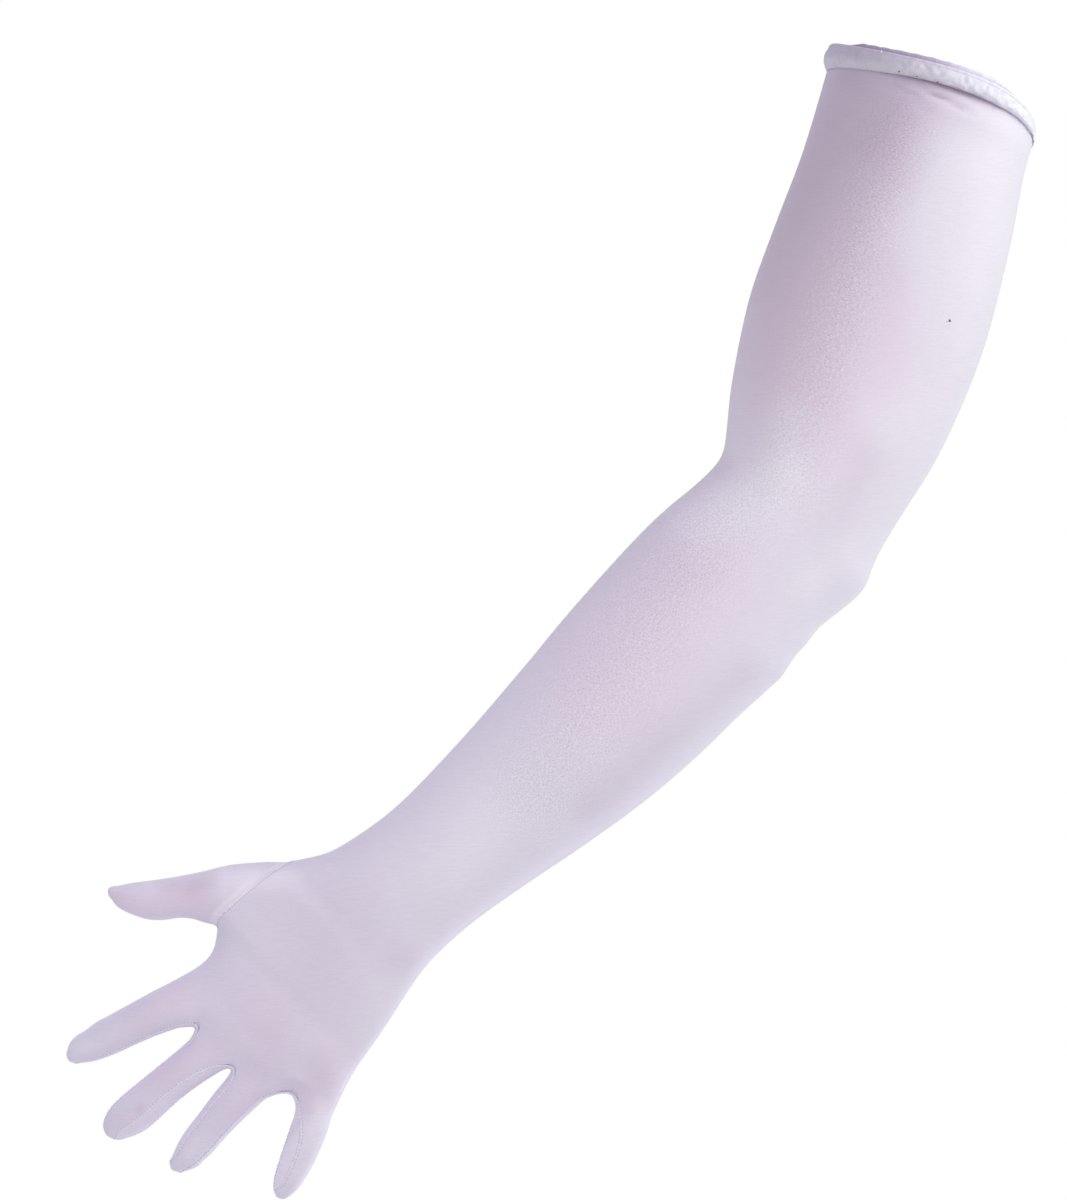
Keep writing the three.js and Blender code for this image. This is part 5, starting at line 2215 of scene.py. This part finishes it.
@dataclass(frozen=True)
class ThreadFinish:
    """A finish of sewing thread with its twist; sizes in millimetres."""

    name: str
    base: Triple
    twist: float = 0.5
    relief: float = 0.04
    cloud_share: float = 0.06
    rough: float = 0.6
    rough_share: float = 0.08
    sheen: float = 0.0

    def build(self, groups: Groups) -> Material:
        """Builds the material.

        Args:
            groups: The shared node groups.

        Returns:
            The material.
        """
        material, tree, shader = new_material(self.name)
        place = tree.nodes.new("ShaderNodeTexCoord")
        twist, tone = tree.nodes.new("ShaderNodeGroup"), tree.nodes.new("ShaderNodeGroup")
        twist.node_tree, tone.node_tree = groups.mottle, groups.tone
        link(place, "Object", twist, "Place")
        fill(twist, {"Size": self.twist})
        fill(tone, dict.fromkeys(("Base", "Warm", "Double", "Deep"), self.base))
        fill(tone, {"Cloud share": self.cloud_share})
        link(twist, "Cloud", tone, "Cloud")
        link(tone, "Colour", shader, "Base Color")
        rough = groups.math(tree, "MULTIPLY_ADD", twist.outputs["Cloud"], self.rough_share, self.rough)
        tree.links.new(rough, shader.inputs["Roughness"])
        bump = tree.nodes.new("ShaderNodeBump")
        fill(bump, {"Distance": self.relief * MM})
        link(twist, "Cloud", bump, "Height")
        link(bump, "Normal", shader, "Normal")
        fill(shader, {"Sheen Weight": self.sheen, "Sheen Roughness": SHEEN_ROUGH, "Sheen Tint": self.base})
        return material


@dataclass(frozen=True)
class Softbox:
    """One soft light: place, aim and size in metres, strength in watts and colour."""

    name: str
    place: Triple
    aim: Triple
    size: float
    power: float
    colour: Triple

    def build(self) -> None:
        """Adds the light to the scene."""
        light = bpy.data.lights.new(self.name, "AREA")
        light.shape = "DISK"
        light.size = self.size
        light.energy = self.power
        light.color = self.colour
        obj = linked(self.name, light)
        obj.location = self.place
        obj.rotation_euler = (Vector(self.aim) - Vector(self.place)).to_track_quat("-Z", "Y").to_euler()
        obj.visible_camera = False


@dataclass(frozen=True)
class Flag:
    """A dark card that keeps light off one side: place, aim and width in metres."""

    name: str
    place: Triple
    aim: Triple
    width: float
    colour: Triple = (0.01, 0.01, 0.01)

    def build(self) -> Object:
        """Adds the card, which the camera doesn't see.

        Returns:
            The card.
        """
        way = (Vector(self.aim) - Vector(self.place)).to_track_quat("-Z", "Y").to_matrix()
        half = self.width / 2
        ends = [(-half, -half), (half, -half), (half, half), (-half, half)]
        corners = [Vector(self.place) + way @ Vector((x, y, 0.0)) for x, y in ends]
        card = mesh_object(self.name, np.array(corners), [(0, 1, 2, 3)])
        material, _, shader = new_material("dark_card")
        fill(shader, {"Base Color": self.colour})
        card.data.materials.append(material)
        card.visible_camera = False
        return card


@dataclass
class Studio:
    """Camera, soft lights, plain bright surround and pale floor."""

    lens: float = 133.33
    sensor: float = 36.0
    sight: float = 20.0
    floor_z: float = -0.80
    floor_x: Pair = (-1.6, 1.7)
    floor_y: Pair = (-1.9, 0.6)
    floor_colour: Triple = (0.82, 0.82, 0.83)
    floor_rough: float = 0.85
    surround: Triple = (0.882, 0.894, 1.0)
    surround_strength: float = 0.520
    softboxes: tuple[Softbox, ...] = (
        Softbox("key_softbox", (0.525, -0.20, 0.91), (0.03, 0.0, -0.08), 0.5, 3.75, (0.94, 1.0, 0.61)),
        Softbox("side_softbox", (0.035, -0.60, 0.985), (0.035, 0.0, -0.288), 0.8, 4.33, (0.96, 0.88, 1.0)),
        Softbox("cuff_softbox", (0.384, -0.05, 0.415), (0.03, 0.0, -0.08), 0.3, 0.38, (0.80, 1.0, 0.72)),
        Softbox("elbow_softbox", (0.10, -0.55, -0.22), (0.10, 0.0, -0.22), 0.3, 0.80, (0.96, 1.0, 0.73)),
        Softbox("low_softbox", (1.237, -0.60, -0.359), (0.035, 0.0, -0.288), 0.8, 0.38, (1.0, 0.50, 0.15)),
        Softbox("hand_softbox", (-0.12, -0.35, -0.62), (0.08, 0.0, -0.50), 0.3, 0.12, (1.0, 0.82, 0.78)),
        Softbox("left_rim_softbox", (-0.617, 0.45, -0.583), (0.09, 0.0, -0.3), 0.5, 0.78, (1.0, 0.83, 0.93)),
        Softbox("low_rim_softbox", (0.858, 0.40, -0.551), (0.08, 0.0, -0.48), 0.5, 1.90, (0.88, 0.92, 1.0)),
    )
    flags: tuple[Flag, ...] = (
        Flag("cuff_flag", (-0.0783, -0.14, -0.0957), (-0.0076, -0.04, -0.025), 0.16),
    )

    def build(self) -> list[Object]:
        """Sets up the whole studio.

        Returns:
            The floor and the dark cards.
        """
        bpy.context.scene.view_settings.view_transform = "Standard"
        self.build_camera()
        self.build_surround()
        for softbox in self.softboxes:
            softbox.build()
        return [self.build_floor(), *(flag.build() for flag in self.flags)]

    def build_camera(self) -> None:
        """Adds the camera, rolled by an eighth of a turn as the picture is."""
        camera = bpy.data.cameras.new("camera")
        camera.lens = self.lens
        camera.sensor_width = self.sensor
        camera.clip_end = self.sight
        obj = linked("camera", camera)
        axes = Matrix(((EIGHTH, -EIGHTH, 0.0), (0.0, 0.0, -1.0), (EIGHTH, EIGHTH, 0.0)))
        obj.matrix_world = Matrix.Translation(EYE) @ axes.to_4x4()
        bpy.context.scene.camera = obj

    def build_surround(self) -> None:
        """Makes the surround white to the eye and softer as a light."""
        world = bpy.data.worlds.new("surround")
        bpy.context.scene.world = world
        world.use_nodes = True
        tree = world.node_tree
        plain, white = tree.nodes["Background"], tree.nodes.new("ShaderNodeBackground")
        fill(plain, {"Color": self.surround, "Strength": self.surround_strength})
        fill(white, {"Color": (1.0, 1.0, 1.0)})
        path, mix = tree.nodes.new("ShaderNodeLightPath"), tree.nodes.new("ShaderNodeMixShader")
        link(path, "Is Camera Ray", mix, 0)
        link(plain, 0, mix, 1)
        link(white, 0, mix, 2)
        link(mix, 0, tree.nodes["World Output"], "Surface")

    def build_floor(self) -> Object:
        """Adds the pale floor.

        Returns:
            The floor.
        """
        (x0, x1), (y0, y1), z = self.floor_x, self.floor_y, self.floor_z
        corners = np.array([(x0, y0, z), (x1, y0, z), (x1, y1, z), (x0, y1, z)])
        floor = mesh_object("floor", corners, [(0, 1, 2, 3)])
        material, _, shader = new_material("pale_floor")
        fill(shader, {"Base Color": self.floor_colour, "Roughness": self.floor_rough})
        floor.data.materials.append(material)
        return floor


NODES = {
    Cloth.BACK: ("upper_sleeve_back", "middle_sleeve_back", "lower_sleeve_back", "hand_back"),
    Cloth.PALM: ("upper_sleeve_palm", "middle_sleeve_palm", "lower_sleeve_palm", "hand_palm"),
    Cloth.THUMB: ("thumb",),
    Cloth.INDEX_MIDDLE: ("fourchette_index_middle",),
    Cloth.MIDDLE_RING: ("fourchette_middle_ring",),
    Cloth.RING_LITTLE: ("fourchette_ring_little",),
}


@dataclass(frozen=True)
class Cut:
    """A cloth piece as it was cut: width, length and area in metres and square metres."""

    width: float
    length: float
    area: float


@dataclass
class LongGlove:
    """The whole glove: it builds the pieces, dresses them and joins them to the frame."""

    # Colours of each knit: base, pink flush, lighter doubled cloth that also carries painted light, and
    # painted shade
    satin: KnitFinish = KnitFinish(
        "satin_knit", (0.800, 0.745, 0.905), (0.800, 0.670, 0.855), (0.905, 0.845, 1.00), (0.50, 0.39, 0.54),
    )
    hem: KnitFinish = KnitFinish(
        "hem_knit", (0.765, 0.685, 0.865), (0.64, 0.54, 0.71), (0.875, 0.855, 1.0), (0.52, 0.41, 0.57),
        relief=0.12, cloud=4.0, cloud_share=0.12, strain_share=0.0,
    )
    thread: ThreadFinish = ThreadFinish("light_thread", (0.895, 0.845, 1.0), sheen=1.0)
    # Violet thread of the thumb's stitches, also used for the painted shadow dots beside the finger seams
    violet: ThreadFinish = ThreadFinish("violet_thread", (0.58, 0.51, 0.70))
    dark: ThreadFinish = ThreadFinish("dark_thread", (0.16, 0.13, 0.18))
    beads: StitchRow = StitchRow("finger_seam_stitches", 1.6, 1.3, 1.05, 0.42, 0.0, 0.19)
    # A row of violet dots beside the finger seams that paints a thin shadow line
    shadow_dots: StitchRow = StitchRow("finger_seam_pricks", 1.6, 0.7, 0.26, 0.2, 0.90, 0.06)
    dots: StitchRow = StitchRow("thumb_seam_stitches", 1.4, 0.8, 0.42, 0.25, 0.6, 0.14)
    dark_marks: tuple[Mark, ...] = (
        Mark(78.7, -65.7, 1.6, 1.25, 0.25, 20), Mark(78.1, -66.9, 0.7, 0.3, 0.1, 45),
        Mark(-17.2, -2.2, 0.9, 0.7, 0.5, 30), Mark(-9.9, 1.9, 0.8, 0.6, 0.5, 10),
        Mark(-1.5, 6.7, 1, 0.7, 0.5, 35),
    )
    light_marks: tuple[Mark, ...] = (
        Mark(-29.3, -1.6, 2.2, 0.6, 0.5, -55), Mark(-28.4, -1.9, 1, 0.5, 0.5, 35),
        Mark(64.2, -533.6, 1.5, 0.7, 0.6, 60), Mark(65.6, -535, 1.1, 0.6, 0.5, -30),
        Mark(87.6, -537.4, 1.4, 0.7, 0.6, 75), Mark(88.6, -538.6, 1, 0.6, 0.5, -20),
        Mark(119.5, -527, 1.4, 0.7, 0.6, 80),
    )

    def build(self) -> None:
        """Builds every piece in order."""
        groups = Groups()
        finishes = (self.satin, self.hem, self.thread, self.violet, self.dark)
        cloth, hem, thread, violet, dark = (finish.build(groups) for finish in finishes)
        skin = SmoothSkin(GloveForm().build())
        Relief().apply(skin)
        for piece, obj in Panels(skin).build().items():
            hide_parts(*NODES[piece])
            self.finish(obj, Slot.SATIN, cloth)
        band = HemBand()
        outer, facing = band.build_band(), band.build_facing()
        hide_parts("cuff_hem")
        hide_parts("hem_facing")
        self.finish(outer, Slot.HEM, hem)
        self.finish(facing, Slot.HEM, hem)
        lines = SeamLines(skin)
        self.finish(SeamRidges(lines).build(), Slot.SATIN, thread)
        self.stitches(lines, thread, violet)
        self.finish(Marks("dark_marks", self.dark_marks).build(), Slot.HEM, dark)
        self.finish(Marks("thread_ends", self.light_marks).build(), Slot.SATIN, thread)

    def stitches(self, lines: SeamLines, thread: Material, violet: Material) -> None:
        """Builds the rows of stitches on the fingers' seams and beside the thumb's, and the violet dots of
        painted shadow beside the fingers' seams.

        Args:
            lines: The seams.
            thread: The material of the light beads.
            violet: The material of the thumb's dotted stitches and of the painted shadow dots.
        """
        tree = StitchTree()
        hand, thumb = [], []
        for pair, found in lines.skin.seams.items():
            if pair & set(FOURCHETTES):
                hand += [lines.frame(line) for line in found]
            elif Cloth.THUMB in pair:
                thumb += [lines.frame(line) for line in found]
        # The light beads, the violet dots of painted shadow beside them, and the thumb's stitches
        rows = ((self.beads, hand, thread), (self.shadow_dots, hand, violet), (self.dots, thumb, violet))
        for row, runs, material in rows:
            self.finish(row.build(runs, tree, material), Slot.SATIN, None)

    def finish(self, obj: Object, slot: Slot, material: Material | None) -> None:
        """Gives a piece its material and body.

        Args:
            obj: The piece.
            slot: Its slot; not used.
            material: Its material, or None where it has one.
        """
        if material is not None:
            obj.data.materials.append(material)
        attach(obj, BODY)
        LOG.info("%s: %d faces", obj.name, len(obj.data.polygons))


def main() -> None:
    """Builds the glove and its studio."""
    LongGlove().build()
    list(Studio().build())


if __name__ == "__main__":
    logging.basicConfig(level=logging.INFO)
    main()
